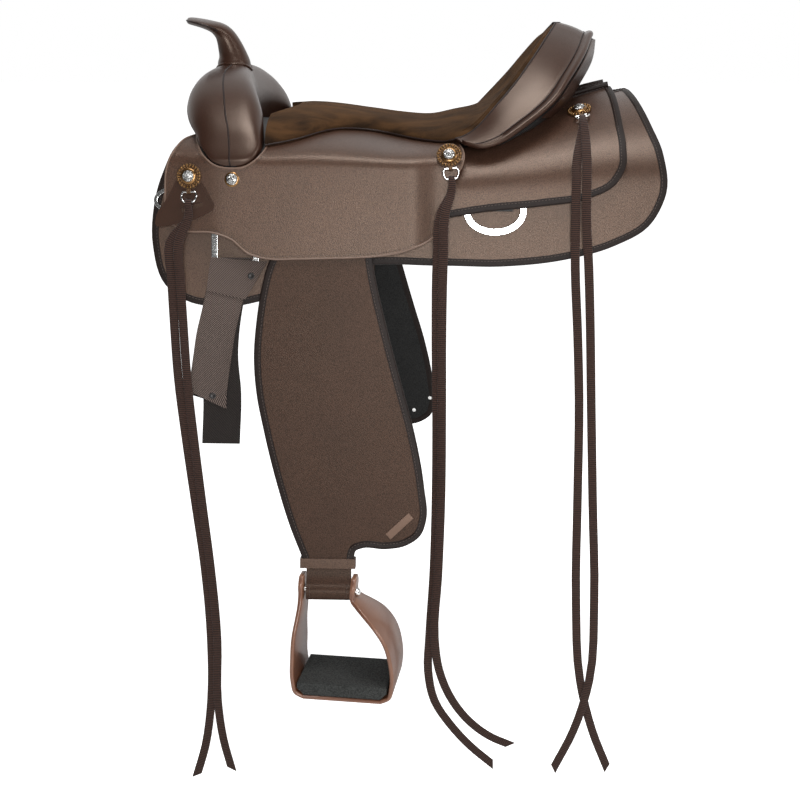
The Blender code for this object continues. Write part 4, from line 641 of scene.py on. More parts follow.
# Fenders and stirrup leathers. The leather is a strap that swings under the seat and is
# folded round the stirrup's bolt; the fender is a wide bound sheet on it, with a loop at the neck.
LEATHER_T = 0.0032
LEATHER_W = 0.058
FENDER_T = 0.0035
SWING_X = -0.0850
SWING_Z = -0.022
HEAD_R = 0.032
FLEX_Z = -0.148
KEEPER_T = 0.0018
KEEPER_TOP = -0.4815
KEEPER_LOW = -0.494
NECK_X = -0.0975
FOLD_SHOULDER = 0.020
FOLD_DEEP = 0.0105
FOLD_HIGH = 0.0115
STRAP_TOP_Z = -0.060
STRAP_STEPS = 40
LABEL_HALF = 0.0048
STRAP_SEAM_IN = 0.0050
LOOP_FRONT_X = -0.1325
LOOP_REAR_X = -0.0645
NECK_FRONT_X = -0.131
NECK_REAR_X = -0.066
BEND_REACH = 0.012
TURNED_SHARP = 50
BOLT_Z = -0.524
FRONT_LUG_TOP = FRONT_DEE_TOP + STRAP_SLACK + LUG_T
LEATHER_LIFT = FRONT_LUG_TOP + 0.0008
FENDER_LIFT = LEATHER_LIFT + LEATHER_T + STRAP_SLACK
FENDER_TOP = FENDER_LIFT + FENDER_T
FENDER_EDGE = [(SWING_X - HEAD_R, SWING_Z - 0.004), (-0.131, -0.060), (-0.162, -0.086), (-0.174, -0.109),
               (-0.1825, -0.138), (-0.1845, FLEX_Z), (-0.190, -0.185), (-0.193, -0.224), (-0.190, -0.272),
               (-0.181, -0.318), (-0.163, -0.390), (-0.147, -0.441), (NECK_FRONT_X, -0.481)]
FENDER_BACK = [(NECK_REAR_X, -0.481), (-0.063, -0.471), (-0.055, -0.4675), (-0.024, -0.4680), (0.002, -0.463),
               (0.020, -0.450), (0.027, -0.430), (0.024, -0.390), (0.010, -0.317), (-0.006, -0.260),
               (-0.024, -0.194), (-0.0355, FLEX_Z), (-0.0385, -0.135), (-0.0430, -0.110), (-0.046, -0.080),
               (-0.050, -0.055), (SWING_X + HEAD_R, SWING_Z - 0.004)]
LABEL_PLACES = ((-0.0212, -0.4522), (0.0081, -0.4248))
RIVET_PLACES = ((-0.0066, -0.4409), (0.0199, -0.4188))

fender_leather = grained_finish("fender_leather", "grained_brown", (63, 45, 37), (38, 27, 22), 0.34, 0.0011,
                                0.00009, Specular_IOR_Level=0.25, Specular_Tint=WARM_SHINE)
lining_black = grained_finish("fender_lining", "felt", (36, 36, 35), (24, 24, 24), 0.9, 0.0015, 0.0002)
label_bronze, _, _ = new_finish("label_bronze", "grained_brown", Base_Color=linear((90, 70, 58)),
                                Metallic=0.5, Roughness=0.35)


def turned(profile, place, segments=24):
    """A profile of (radius, height) turned about the place's z axis; both ends lie on the axis."""
    shape = bmesh.new()
    turns = [2 * math.pi * k / segments for k in range(segments)]
    rows = []
    for radius, height in profile:
        ring = [(0, 0)] if radius == 0 else [(radius * math.cos(t), radius * math.sin(t)) for t in turns]
        rows.append([shape.verts.new(place @ Vector((a, b, height))) for a, b in ring])
    for first, second in zip(rows, rows[1:]):
        for k in range(segments):
            n = (k + 1) % segments
            corners = [row[i % len(row)] for row, i in ((first, k), (second, k), (second, n), (first, n))]
            shape.faces.new(list(dict.fromkeys(corners)))
    return shape


def side_frame(x, z, lift, side):
    """Axes on the flat side: x along the saddle, z outward."""
    out = Vector((0, side * math.cos(LEAN), math.sin(LEAN)))
    ahead = Vector((-side, 0, 0))
    turn = Matrix((ahead, out.cross(ahead), out)).transposed().to_4x4()
    return Matrix.Translation(flat(x, z, lift, side)) @ turn


head_arc = [(SWING_X + HEAD_R * math.cos(turn), SWING_Z + HEAD_R * math.sin(turn))
            for turn in (math.pi * k / 16 for k in range(17))]
neck_low = KEEPER_LOW + 0.002
fender_rim = [Vector(point) for point in head_arc] + smooth_line(FENDER_EDGE)
fender_rim += [Vector((NECK_FRONT_X, neck_low)), Vector((NECK_REAR_X, neck_low))] + smooth_line(FENDER_BACK)
bound_span = (len(head_arc) + 4, len(fender_rim) - 6)
fold_middle = (LEATHER_LIFT + FENDER_TOP) / 2
shoulder = BOLT_Z + FOLD_SHOULDER


def fold_arc(deep, high, turns):
    """Points round the stirrup's bolt, as (lift, z)."""
    return [(fold_middle + deep * math.cos(turn), BOLT_Z + high * math.sin(turn)) for turn in turns]


def straight_run(lift, start, end):
    return [(lift, start + (end - start) * k / STRAP_STEPS) for k in range(STRAP_STEPS + 1)]


fold_turns = [math.radians(62 - 304 * k / 28) for k in range(29)]
strap = straight_run(LEATHER_LIFT + LEATHER_T, STRAP_TOP_Z, shoulder)
strap += fold_arc(FOLD_DEEP, FOLD_HIGH, fold_turns) + straight_run(LEATHER_LIFT, shoulder, STRAP_TOP_Z)
strap_hole = fold_arc(FOLD_DEEP - 0.0027, FOLD_HIGH - 0.006, [2 * math.pi * k / 24 for k in range(24)])
seam_turns = [math.radians(62 - 130 * k / 16) for k in range(17)]
fold_seam = fold_arc(FOLD_DEEP + 0.0002, FOLD_HIGH + 0.0002, seam_turns)
loop_in = [(LOOP_FRONT_X, LEATHER_LIFT - GAP), (LOOP_REAR_X, LEATHER_LIFT - GAP),
           (LOOP_REAR_X, FENDER_TOP + GAP), (LOOP_FRONT_X, FENDER_TOP + GAP)]
loop_out = [(x + math.copysign(KEEPER_T, x - NECK_X), y + math.copysign(KEEPER_T, y - FENDER_LIFT))
            for x, y in loop_in]
label_low, label_high = (Vector(spot) for spot in LABEL_PLACES)
label_way = (label_high - label_low).normalized()
label_cross = Vector((-label_way.y, label_way.x)) * LABEL_HALF
label = [label_low - label_cross, label_high - label_cross, label_high + label_cross, label_low + label_cross]
RIVET = [(0, -0.0010), (0.0030, -0.0008), (0.0034, 0.0), (0.0034, 0.0008), (0, 0.0008)]
for side, word in SIDES:
    lay = on_flat(side)
    swing, flex = "fender_swing_" + word, "fender_flex_" + word
    above, below = (flat(NECK_X, FLEX_Z + reach, FENDER_TOP, side) for reach in (BEND_REACH, -BEND_REACH))
    bend = (swing, flex, above, below)
    shape = laid_sheet(fender_rim, FENDER_LIFT + 0.0006, FENDER_TOP, lay, 0.009)
    make_piece("fender_leather_" + word, shape, fender_leather, swing,
               ["fender_top_" + word, "fender_" + word], soft_edge=0.0006, bend=bend)
    shape = laid_sheet(inset(fender_rim, 0.004), FENDER_LIFT, FENDER_LIFT + 0.0007, lay, 0.009)
    make_piece("fender_lining_" + word, shape, lining_black, swing, bend=bend)
    bind_edge("fender", word, fender_rim, FENDER_LIFT, FENDER_TOP, lay, bound_span, 0.0003, swing, bend)

    shape = laid_sheet(strap, NECK_X - LEATHER_W / 2, NECK_X + LEATHER_W / 2,
                       lambda lift, z, x: flat(x, z, lift, side), 0.2, holes=[strap_hole])
    make_piece("stirrup_strap_" + word, shape, fender_leather, swing, ["stirrup_leather_" + word],
               soft_edge=0.0007, bend=bend)
    for edge, end_word in ((-1, "front"), (1, "rear")):
        seam_x = NECK_X + edge * (LEATHER_W / 2 - STRAP_SEAM_IN)
        shape = sewn_row(fold_seam, lambda lift, z, grow: flat(seam_x, z, lift + grow, side), 0.0001,
                         closed=False)
        make_piece("strap_stitches_%s_%s" % (word, end_word), shape, dark_thread, flex)

    shape = laid_sheet(loop_out, KEEPER_LOW, KEEPER_TOP, lambda x, lift, z: flat(x, z, lift, side), 0.05,
                       holes=[loop_in])
    make_piece("neck_loop_" + word, shape, grained_leather, flex, ["fender_keeper_" + word], soft_edge=0.0006)
    shape = laid_sheet(label, FENDER_TOP + 0.0001, FENDER_TOP + 0.0011, lay, 0.01)
    make_piece("blank_label_" + word, shape, label_bronze, flex, soft_edge=0.0004)
    for spot, (x, z) in zip(("low", "high"), RIVET_PLACES):
        shape = turned(RIVET, side_frame(x, z, FENDER_LIFT - 0.0006, side))
        make_piece("label_rivet_%s_%s" % (spot, word), shape, bright_steel, flex)


# Stirrups. A bow of moulded copper-brown plastic with rounded rims, a foam tread glued in
# its floor, and a bright bolt through its ears and the fold of the stirrup leather.
STIRRUP_T = 0.0055
STIRRUP_TURN = math.radians(6)
BOLT_R = 0.004
EAR_GAP = 0.031
PAD_T = 0.017
PAD_DEPTH = 0.086
BOW_FLOOR_Z = -0.1323
BOW_FRONT_X = -0.0408
BOW_REAR_X = 0.0878
PAD_ROOM = 0.0028
PAD_CUT = 0.009
STIRRUP = [(-0.0340, 0.0210, 0.0100), (-0.0340, 0.0130, 0.0165), (-0.0340, 0.0, 0.0180),
           (-0.0342, -0.0120, 0.0215), (-0.0362, -0.0300, 0.0300), (-0.0395, -0.0520, 0.0385),
           (-0.0408, -0.0800, 0.0440), (-0.0408, -0.1130, 0.0440), (-0.0375, -0.1265, 0.0440),
           (-0.0270, -0.1323, 0.0440), (0.0740, -0.1323, 0.0440), (0.0845, -0.1265, 0.0440),
           (0.0878, -0.1130, 0.0440), (0.0868, -0.0800, 0.0440), (0.0790, -0.0535, 0.0420),
           (0.0655, -0.0345, 0.0380), (0.0510, -0.0215, 0.0300), (0.0395, -0.0120, 0.0220),
           (0.0345, -0.0070, 0.0190), (0.0340, 0.0130, 0.0165), (0.0340, 0.0210, 0.0100)]


def copper_finish():
    """Copper-brown moulding: a satin coat, with a painted highlight on its rims: paler colour where the
    surface turns convex, the rest darker.
    """
    finish, tree, shader = new_finish("copper_moulding", "copper_brown", Coat_Weight=0.25, Coat_Roughness=0.2,
                                      Metallic=0.15)
    place = object_place(tree)
    flakes = noise(tree, place, 900.0, 2.0)
    # painted highlight: convex rims get a paler colour that stands in for the light caught on the stirrup's
    # edges
    painted_light = ranged(tree, add_node(tree, "ShaderNodeNewGeometry").outputs["Pointiness"], 0.52, 0.60)
    tone = mixed(tree, noise(tree, place, 38.0, 5.0), linear((76, 44, 31)), linear((100, 66, 49)))
    join(tree, shader, flakes, 0.00005, Base_Color=mixed(tree, painted_light, tone, linear((142, 104, 82))),
         Roughness=ranged(tree, flakes, 0.0, 1.0, 0.30, 0.48))
    return finish


copper_moulding = copper_finish()
tread_foam = grained_finish("tread_foam", "tread_foam", (50, 52, 50), (30, 31, 30), 0.80, 0.0020, 0.0004)

bow = smooth_line(STIRRUP[:10], 4) + smooth_line(STIRRUP[10:], 4)
RIM_ROUND = [(1.0, 0.25), (0.985, 0.75), (0.94, 1.0), (-0.94, 1.0), (-0.985, 0.75), (-1.0, 0.25),
             (-1.0, -0.25), (-0.985, -0.75), (-0.94, -1.0), (0.94, -1.0), (0.985, -0.75), (1.0, -0.25)]
for side, word in SIDES:
    body = "stirrup_" + word
    bolt = flat(NECK_X, BOLT_Z, fold_middle, side)
    hang = Matrix.Translation(bolt) @ Matrix.Rotation(side * STIRRUP_TURN, 4, "Z")
    rings = []
    last = len(bow) - 1
    for i, (x, z, deep) in enumerate(bow):
        ahead = Vector(bow[min(i + 1, last)]) - Vector(bow[max(i - 1, 0)])
        ahead = Vector((ahead.x, 0, ahead.y)).normalized()
        out = Vector((ahead.z, 0, -ahead.x)) * STIRRUP_T / 2
        rings.append([hang @ (Vector((x, 0, z)) + out * thick + Vector((0, deep * wide, 0)))
                      for wide, thick in RIM_ROUND])
    make_piece("stirrup_bow_" + word, loft(rings), copper_moulding, body, ["stirrup_" + word],
               sharp=SHARP_BEYOND)

    floor = BOW_FLOOR_Z + STIRRUP_T / 2 + GAP
    left = BOW_FRONT_X + STIRRUP_T / 2 + PAD_ROOM
    right = BOW_REAR_X - STIRRUP_T / 2 - PAD_ROOM
    rim = [(left + PAD_CUT, floor), (right - PAD_CUT, floor), (right, floor + PAD_CUT),
           (right, floor + PAD_T), (left, floor + PAD_T), (left, floor + PAD_CUT)]
    shape = laid_sheet(rim, -PAD_DEPTH / 2, PAD_DEPTH / 2, lambda a, b, h: hang @ Vector((a, h, b)), 0.02)
    make_piece("foam_tread_" + word, shape, tread_foam, body, ["tread_pad_" + word], soft_edge=0.0014)

    face = EAR_GAP + STIRRUP_T + GAP + 0.0004
    profile = [(0, -face - 0.0036), (0.0034, -face - 0.0034), (0.0056, -face - 0.0020), (0.0060, -face),
               (BOLT_R, -face), (BOLT_R, face), (0.0060, face), (0.0060, face + 0.0012),
               (0.0052, face + 0.0030), (0.0030, face + 0.0043), (0, face + 0.0046)]
    shape = turned(profile, hang @ Matrix.Rotation(math.pi / 2, 4, "Y"))
    make_piece("ear_bolt_" + word, shape, bright_steel, body, ["stirrup_bolt_" + word], sharp=TURNED_SHARP)


# Seat jockeys. The large side leathers under the rider's thighs, in one with the front
# corners. Their edge is cut plain and pale, with one row of stitches just inside it.
JOCKEY_T = 0.0035
FENDER_ROOM = 0.0025
UNDER_SEAT = 0.015
JOCKEY_LIFT = FENDER_TOP + FENDER_ROOM + JOCKEY_T
JOCKEY_REAR_LIFT = REAR_JOCKEY_TOP_LIFT + 2 * GAP + JOCKEY_T
JOCKEY_FRONT_LIFT = JOCKEY_LIFT - 0.0065
U_CUT = [(-0.272, 0.155), (-0.266, 0.182), (-0.256, 0.206), (-0.241, 0.219), (-0.222, 0.2215),
         (-0.203, 0.218), (-0.188, 0.206), (-0.181, 0.190), (-0.179, 0.170)]
SEAT_SEAM = [(-0.186, 0.187), (-0.138, 0.166), (-0.085, 0.112), (-0.033, 0.102), (0.014, 0.136),
             (0.046, 0.157), (0.060, 0.162)]
JOCKEY_EDGE = [(0.0655, 0.170), (0.0700, 0.186), (0.0712, 0.200), (0.0680, 0.213), (0.0600, 0.224),
               (0.0550, 0.238), (0.0520, 0.262), (0.038, 0.292), (0.012, 0.313),
               (-0.030, 0.325), (-0.084, 0.332), (-0.140, 0.335), (-0.180, 0.333), (-0.201, 0.327),
               (-0.222, 0.311), (-0.245, 0.304), (-0.284, 0.300), (-0.302, 0.287), (-0.306, 0.250),
               (-0.304, 0.222), (-0.295, 0.196), (-0.284, 0.168), (-0.272, 0.155)]


def jockey_lift(x):
    return float(np.interp(x, (-0.330, -0.240, 0.010, 0.036),
                           (JOCKEY_FRONT_LIFT, JOCKEY_LIFT, JOCKEY_LIFT, JOCKEY_REAR_LIFT)))


jockey_form = BackForm(along([(-0.33, 0.068), (-0.25, 0.062), (-0.186, 0.055), (-0.12, 0.058), (-0.06, 0.051),
                              (-0.018, 0.0445), (0.025, 0.0455), (0.06, 0.0540), (0.10, 0.0660)]),
                       JOCKEY_CROWN_Z, jockey_lift)
tucked = [(x, drop - UNDER_SEAT) for x, drop in SEAT_SEAM]
under_seat = [(-0.179, tucked[0][1] - 0.002)]
jockey_rim = outline(U_CUT, U_CUT[-1:] + under_seat, under_seat + tucked[1:] + JOCKEY_EDGE[:1], JOCKEY_EDGE)
u_count = len(outline(U_CUT))
pale_edge, _, _ = new_finish("cut_edge", "grained_brown", Base_Color=linear((98, 78, 66)), Roughness=0.5)
edge_start = len(outline(U_CUT, U_CUT[-1:] + under_seat, under_seat + tucked[1:] + JOCKEY_EDGE[:1]))
for side, word in SIDES:
    lay = jockey_form.on(side)
    shape = laid_sheet(jockey_rim, -JOCKEY_T, 0.0, lay)
    make_piece("jockey_leather_" + word, shape, grained_leather, "saddle", ["seat_jockey_" + word],
               soft_edge=0.0009)
    rounded = inset(jockey_rim, 0.0007)
    rounded = [lay(a, b, -0.0005) for a, b in rounded[edge_start:] + rounded[:u_count - 3]]
    make_piece("jockey_cut_edge_" + word, bead(rounded, 0.0012, 8), pale_edge, "saddle")
    sewn = inset(jockey_rim, 0.0042)
    sewn = sewn[edge_start:] + sewn[:u_count - 3]
    shape = sewn_row(sewn, lay, 0.0001, 0.0036, 0.0022, 0.0003, closed=False)
    make_piece("jockey_stitches_" + word, shape, thread, "saddle")


# Swell. The fork's cover: smooth leather stretched over it, with a corded welt along each
# side of its crest, and its lower ends tucked into the jockeys' cuts.
SWELL_COVER_T = 0.003
SHRINK_LIMIT = 0.012
BULGE_SHARE = 0.4
WELT_FROM_Y = 0.021
SWELL = [(0.000, 0.000, 0.1280, -0.2755, -0.2155, -0.2765, -0.2140),
         (0.045, 0.045, 0.1265, -0.2770, -0.2130, -0.2800, -0.2085),
         (0.085, 0.086, 0.1205, -0.2770, -0.2070, -0.2880, -0.2010),
         (0.115, 0.118, 0.1100, -0.2740, -0.1990, -0.2910, -0.1930),
         (0.140, 0.147, 0.0935, -0.2710, -0.1900, -0.2870, -0.1865),
         (0.160, 0.171, 0.0715, -0.2690, -0.1845, -0.2790, -0.1845),
         (0.178, 0.1850, 0.0545, -0.2650, -0.1845, -0.2695, -0.1840),
         (0.192, 0.1950, 0.0385, -0.2600, -0.1855, -0.2645, -0.1845),
         (0.204, 0.2020, 0.0268, -0.2540, -0.1905, -0.2570, -0.1895),
         (0.212, 0.2058, 0.0192, -0.2480, -0.1965, -0.2500, -0.1965),
         (0.2175, 0.2060, 0.0133, -0.2395, -0.2050, -0.2400, -0.2050),
         (0.2200, 0.2055, 0.0108, -0.2310, -0.2130, -0.2310, -0.2130)]
SWELL_ROUND = 0.58
SWELL_STEPS = 32
SWELL_SINK = 0.0028
WELT_BEAD = 0.0011


def swell_rows(shrink):
    """Rows of points over the swell, drawn in by shrink, from one tongue to the other."""
    stations = smooth_line(SWELL, 4)
    rows = []
    for side in (-1, 1):
        half_rows = []
        for drop, crest_y, crest_z, front, rear, front_bulge, rear_bulge in stations:
            middle = (front + rear) / 2
            drawn = drop * (1 - 0.6 * shrink / 0.2)
            foot_mid = jockey_form.place(middle, drawn, -SWELL_SINK, side)
            crest = Vector((middle, side * crest_y, crest_z))
            way = crest - foot_mid
            crest -= way.normalized() * min(shrink, way.length * 0.5)
            upright = (SWELL_SINK + 0.0008) / max(way.length - shrink, 0.004)
            turns = [math.pi * step / SWELL_STEPS for step in range(1, SWELL_STEPS)]
            rises = [(0.0, 1.0), (min(upright, BULGE_SHARE), 1.0)]
            rises += [(math.sin(turn) ** SWELL_ROUND, math.cos(turn)) for turn in turns]
            rises += [(min(upright, BULGE_SHARE), -1.0), (0.0, -1.0)]
            row = []
            for rise, cosine in rises:
                reach = math.copysign(abs(cosine) ** SWELL_ROUND, cosine)
                grown = min(1.0, max(0.0, rise - upright) / BULGE_SHARE)
                ahead = front + (front_bulge - front) * grown + min(shrink, SHRINK_LIMIT)
                behind = rear + (rear_bulge - rear) * grown - min(shrink, SHRINK_LIMIT)
                x = (ahead + behind) / 2 - (behind - ahead) / 2 * reach
                base = jockey_form.place(x, drawn, -SWELL_SINK, side)
                y = base.y + (crest.y - base.y) * rise
                row.append(Vector((x, y, base.z + (crest.z - base.z) * rise)))
            half_rows.append(row)
        rows = list(reversed(half_rows)) + rows[1:] if side == 1 else half_rows
    return rows


def grid_shell(top, bottom):
    """A closed solid between two grids of the same size."""
    shape = bmesh.new()
    high = [[shape.verts.new(point) for point in row] for row in top]
    low = [[shape.verts.new(point) for point in row] for row in bottom]
    for grid, turn in ((high, 1), (low, -1)):
        for r in range(len(grid) - 1):
            for c in range(len(grid[0]) - 1):
                corners = (grid[r][c], grid[r][c + 1], grid[r + 1][c + 1], grid[r + 1][c])
                shape.faces.new(corners[::turn])
    rows, columns = len(top), len(top[0])
    border = [(r, 0) for r in range(rows)] + [(rows - 1, c) for c in range(1, columns)]
    border += [(r, columns - 1) for r in range(rows - 2, -1, -1)]
    border += [(0, c) for c in range(columns - 2, 0, -1)]
    for (r1, c1), (r2, c2) in zip(border, border[1:] + border[:1]):
        shape.faces.new((high[r1][c1], high[r2][c2], low[r2][c2], low[r1][c1]))
    return shape


smooth_leather = grained_finish("smooth_leather", "smooth_brown", (52, 34, 28), (42, 28, 22), 0.28, 0.0010,
                                0.00004, Specular_IOR_Level=0.5, Specular_Tint=WARM_SHINE)
welt_leather = grained_finish("welt_leather", "smooth_brown", (42, 30, 26), (30, 21, 19), 0.42, 0.0009,
                              0.00004, Specular_IOR_Level=0.25)

swell_top = swell_rows(0.0)
make_piece("swell_leather", grid_shell(swell_top, swell_rows(SWELL_COVER_T)), smooth_leather, "saddle",
           ["swell_cover"], sharp=70)
swell_width = len(swell_top[0])
corners = [r * swell_width + c for r in range(len(swell_top) - 1) for c in range(swell_width - 1)]
swell_skin = BVHTree.FromPolygons([point for row in swell_top for point in row],
                                  [(k, k + 1, k + 1 + swell_width, k + swell_width) for k in corners])
crest_column = swell_width // 2
crest_line = [row[crest_column] for row in swell_top]
crest_middle = len(crest_line) // 2
for side, word in SIDES:
    half_line = crest_line[crest_middle:][::-1] if side == -1 else crest_line[:crest_middle + 1]
    half_line = [point for point in half_line if abs(point.y) > WELT_FROM_Y]
    make_piece("swell_welt_" + word, bead(half_line, WELT_BEAD), welt_leather, "saddle")


# Horn. A steel neck and flat cap wrapped in the swell's leather, sewn up its back, with
# a rolled collar at its foot and a rolled edge round the cap.
HORN = [(-0.2455, 0.1225, 0, 0.0230, 0.0245), (-0.2455, 0.1300, 0, 0.0222, 0.0235),
        (-0.2465, 0.1385, 6, 0.0195, 0.0205), (-0.2512, 0.1530, 17, 0.0162, 0.0185),
        (-0.2572, 0.1650, 36, 0.0132, 0.0195), (-0.2650, 0.1730, 58, 0.0100, 0.0260),
        (-0.2740, 0.1776, 73, 0.0074, 0.0335), (-0.2855, 0.1811, 78, 0.0062, 0.0350),
        (-0.2960, 0.1834, 79, 0.0055, 0.0300), (-0.3035, 0.1847, 80, 0.0048, 0.0200),
        (-0.3070, 0.1852, 80, 0.0036, 0.0090)]
HORN_SIDES = 48
CAP_FROM = 24
COLLAR_DEEP = 0.0236
COLLAR_WIDE = 0.0250
COLLAR_BEAD = 0.0021
COLLAR_RISE = 0.0012
OVER_SWELL = 0.30
DOWN = Vector((0, 0, -1))


def horn_ring(x, z, lean, deep, wide):
    angle = math.radians(lean)
    back = Vector((math.cos(angle), 0, math.sin(angle)))
    return [Vector((x, 0, z)) + back * deep * math.cos(turn) + Vector((0, wide * math.sin(turn), 0))
            for turn in (2 * math.pi * k / HORN_SIDES for k in range(HORN_SIDES))]


horn_stations = smooth_line([(x, z, lean / 1000, deep, wide) for x, z, lean, deep, wide in HORN], 5)
horn_rings = [horn_ring(x, z, lean * 1000, deep, wide) for x, z, lean, deep, wide in horn_stations]
make_piece("horn_wrap", loft(horn_rings), smooth_leather, "saddle", ["horn"], sharp=SHARP_BEYOND)
collar_line = []
for k in range(HORN_SIDES):
    turn = 2 * math.pi * k / HORN_SIDES
    above = Vector((HORN[0][0] + COLLAR_DEEP * math.cos(turn), COLLAR_WIDE * math.sin(turn), OVER_SWELL))
    spot, _, _, _ = swell_skin.ray_cast(above, DOWN)
    collar_line.append(spot + Vector((0, 0, COLLAR_RISE)))
make_piece("horn_collar", bead(collar_line, COLLAR_BEAD, closed=True), smooth_leather, "saddle")
quarter = HORN_SIDES // 4
cap_rings = horn_rings[CAP_FROM:]
cap_line = [ring[quarter] for ring in cap_rings] + [ring[3 * quarter] for ring in reversed(cap_rings)]
make_piece("horn_cap_edge", bead(cap_line, 0.0013), welt_leather, "saddle")
back_seam = [ring[quarter // 3] for ring in horn_rings[5:CAP_FROM]]
make_piece("horn_back_seam", bead(back_seam, 0.0005), thread, "saddle")


# Seat. One padded suede cover over the seat and up the face of the cantle, crowned over
# its foam, with a sewn ridge inside each edge and a turned edge where it meets the leathers.
SEAT_T = 0.016
EDGE_FULL = 0.22
SEAT_END_ROWS = 10
RIDGE_FROM_ROW = 44
RIDGE_COLUMN = 5
TURNED_EDGE = 0.0013
CANTLE = [((0.060, 0.167, 0.0400), (0.062, 0.0550), (0.074, 0.1830, 0.0330)),
          ((0.070, 0.165, 0.0430), (0.083, 0.0590), (0.093, 0.1870, 0.0290)),
          ((0.085, 0.161, 0.0520), (0.107, 0.0670), (0.115, 0.1860, 0.0340)),
          ((0.110, 0.150, 0.0790), (0.136, 0.0860), (0.148, 0.1740, 0.0540)),
          ((0.135, 0.131, 0.1070), (0.158, 0.1120), (0.184, 0.1550, 0.0820)),
          ((0.158, 0.102, 0.1370), (0.177, 0.1410), (0.208, 0.1230, 0.1130)),
          ((0.177, 0.064, 0.1630), (0.190, 0.1640), (0.228, 0.0770, 0.1410)),
          ((0.190, 0.026, 0.1800), (0.197, 0.1800), (0.239, 0.0320, 0.1605))]
DISH_HOLLOW = 2.4
SEAT_X = [-0.1805, -0.162, -0.140, -0.116, -0.092, -0.071, -0.050, -0.034, -0.018, -0.004, 0.010, 0.023,
          0.036, 0.048]
HANDHOLD = 0.028
SEAT_CLEAR = 0.0008
SEAT_ARCH = 0.0010
ACROSS_STEPS = 28
SUEDE_TONES = ((0.34, (36, 25, 15)), (0.66, (68, 48, 30)))
seat_seam = along(SEAT_SEAM)
seat_fullness = along([(-0.19, 1.47), (-0.13, 1.03), (-0.07, 0.95), (-0.02, 1.0), (0.03, 0.78), (0.08, 0.75),
                       (0.20, 0.78)])
across = [math.sin(math.pi / 2 * step / ACROSS_STEPS) for step in range(-ACROSS_STEPS, ACROSS_STEPS + 1)]
cantle_stations = smooth_line([(*rim, *middle, *welt) for rim, middle, welt in CANTLE], 4)


def cantle_face(station, q):
    """A point of the cantle's hollow face, for q from -1 at the near rim to 1 at the off one."""
    rim_x, rim_y, rim_z, middle_x, middle_z = station[:5]
    rise = abs(q) ** DISH_HOLLOW
    return Vector((middle_x + (rim_x - middle_x) * rise, rim_y * q, middle_z + (rim_z - middle_z) * rise))


def dish_rows():
    """Rows of the face that the seat lies on: the jockeys first, then up the cantle."""
    rows = []
    fine = 3
    for step in range((len(SEAT_X) - 1) * fine + 1):
        index = step / fine
        seat_x = float(np.interp(index, range(len(SEAT_X)), SEAT_X))
        fade = max(0.0, 1 - index / 4)
        row = []
        for q in across:
            x = seat_x + fade * HANDHOLD * max(0.0, 1 - (q / 0.62) ** 2)
            clear = SEAT_CLEAR + SEAT_ARCH * (1 - abs(q) ** 6)
            row.append(jockey_form.place(x, abs(q) * seat_seam(x), clear, -1 if q < 0 else 1))
        rows.append(row)
    return rows + [[cantle_face(station, q) for q in across] for station in cantle_stations]


def row_normals(rows):
    normals = []
    for r, row in enumerate(rows):
        line = []
        for c in range(len(row)):
            ahead = rows[min(r + 1, len(rows) - 1)][c] - rows[max(r - 1, 0)][c]
            sideways = row[min(c + 1, len(row) - 1)] - row[max(c - 1, 0)]
            line.append(ahead.cross(sideways).normalized())
        normals.append(line)
    return normals


def suede_finish():
    """Brushed suede: a soft nap with strokes of darker and lighter brown."""
    finish, tree, shader = new_finish("brushed_suede", "suede", Sheen_Weight=0.2, Sheen_Roughness=0.4,
                                      Sheen_Tint=linear((150, 112, 78)), Roughness=0.95,
                                      Specular_IOR_Level=0.15)
    place = object_place(tree)
    brushed = add_node(tree, "ShaderNodeMapping", {"Vector": place, "Scale": (0.5, 1.0, 1.4)}).outputs[0]
    brush = {"Vector": brushed, "Scale": 34.0, "Detail": 6.0, "Distortion": 0.8}
    strokes = add_node(tree, "ShaderNodeTexNoise", brush).outputs["Fac"]
    tone = add_node(tree, "ShaderNodeValToRGB", {"Fac": strokes})
    for element, (position, colour) in zip(tone.color_ramp.elements, SUEDE_TONES):
        element.position = position
        element.color = linear(colour)
    nap = noise(tree, place, 1500.0, 3.0)
    speck = ranged(tree, nap, 0.0, 1.0, 0.78, 1.2)
    join(tree, shader, nap, 0.0003, Base_Color=scaled(tree, tone.outputs["Color"], speck))
    return finish


brushed_suede = suede_finish()
dish = dish_rows()
dish_way = row_normals(dish)
seat_top = []
for r, row in enumerate(dish):
    from_end = min(r, (len(dish) - 1 - r) * 1.2)
    ends = 0.90 + 0.10 * from_end / 4 if r < SEAT_END_ROWS else 0.45 + 0.55 * from_end / 5
    line = []
    for c, q in enumerate(across):
        crown = (1 - abs(q) ** 8) ** 0.5 if abs(q) < 1 else 0.0
        full = EDGE_FULL + (1 - EDGE_FULL) * crown
        line.append(row[c] + dish_way[r][c] * SEAT_T * seat_fullness(row[c].x) * full * min(1.0, ends))
    seat_top.append(line)
shape = grid_shell(seat_top, dish)
seat = make_piece("suede_seat", shape, brushed_suede, "saddle", ["seat_cushion"], sharp=55)
for column, word in ((0, "near"), (-1, "off")):
    turned_edge = [top[column].lerp(low[column], 0.45) for top, low in zip(seat_top, dish)]
    make_piece("seat_edge_" + word, bead(turned_edge, TURNED_EDGE), welt_leather, "saddle")
    ridge = RIDGE_COLUMN if column == 0 else len(across) - 1 - RIDGE_COLUMN
    sewn = [row[ridge] + way[ridge] * 0.0002 for row, way in list(zip(seat_top, dish_way))[RIDGE_FROM_ROW:]]
    make_piece("seat_ridge_" + word, bead(sewn, 0.0008), brushed_suede, "saddle")


# Cantle. A band of smooth leather round its edge from the seat to the back, with a cord
# rolled into each of its seams, and a plain panel of the same leather over the back.
BOXING_T = 0.0025
WELT_R = 0.004
BACK_DRAW = 0.0055


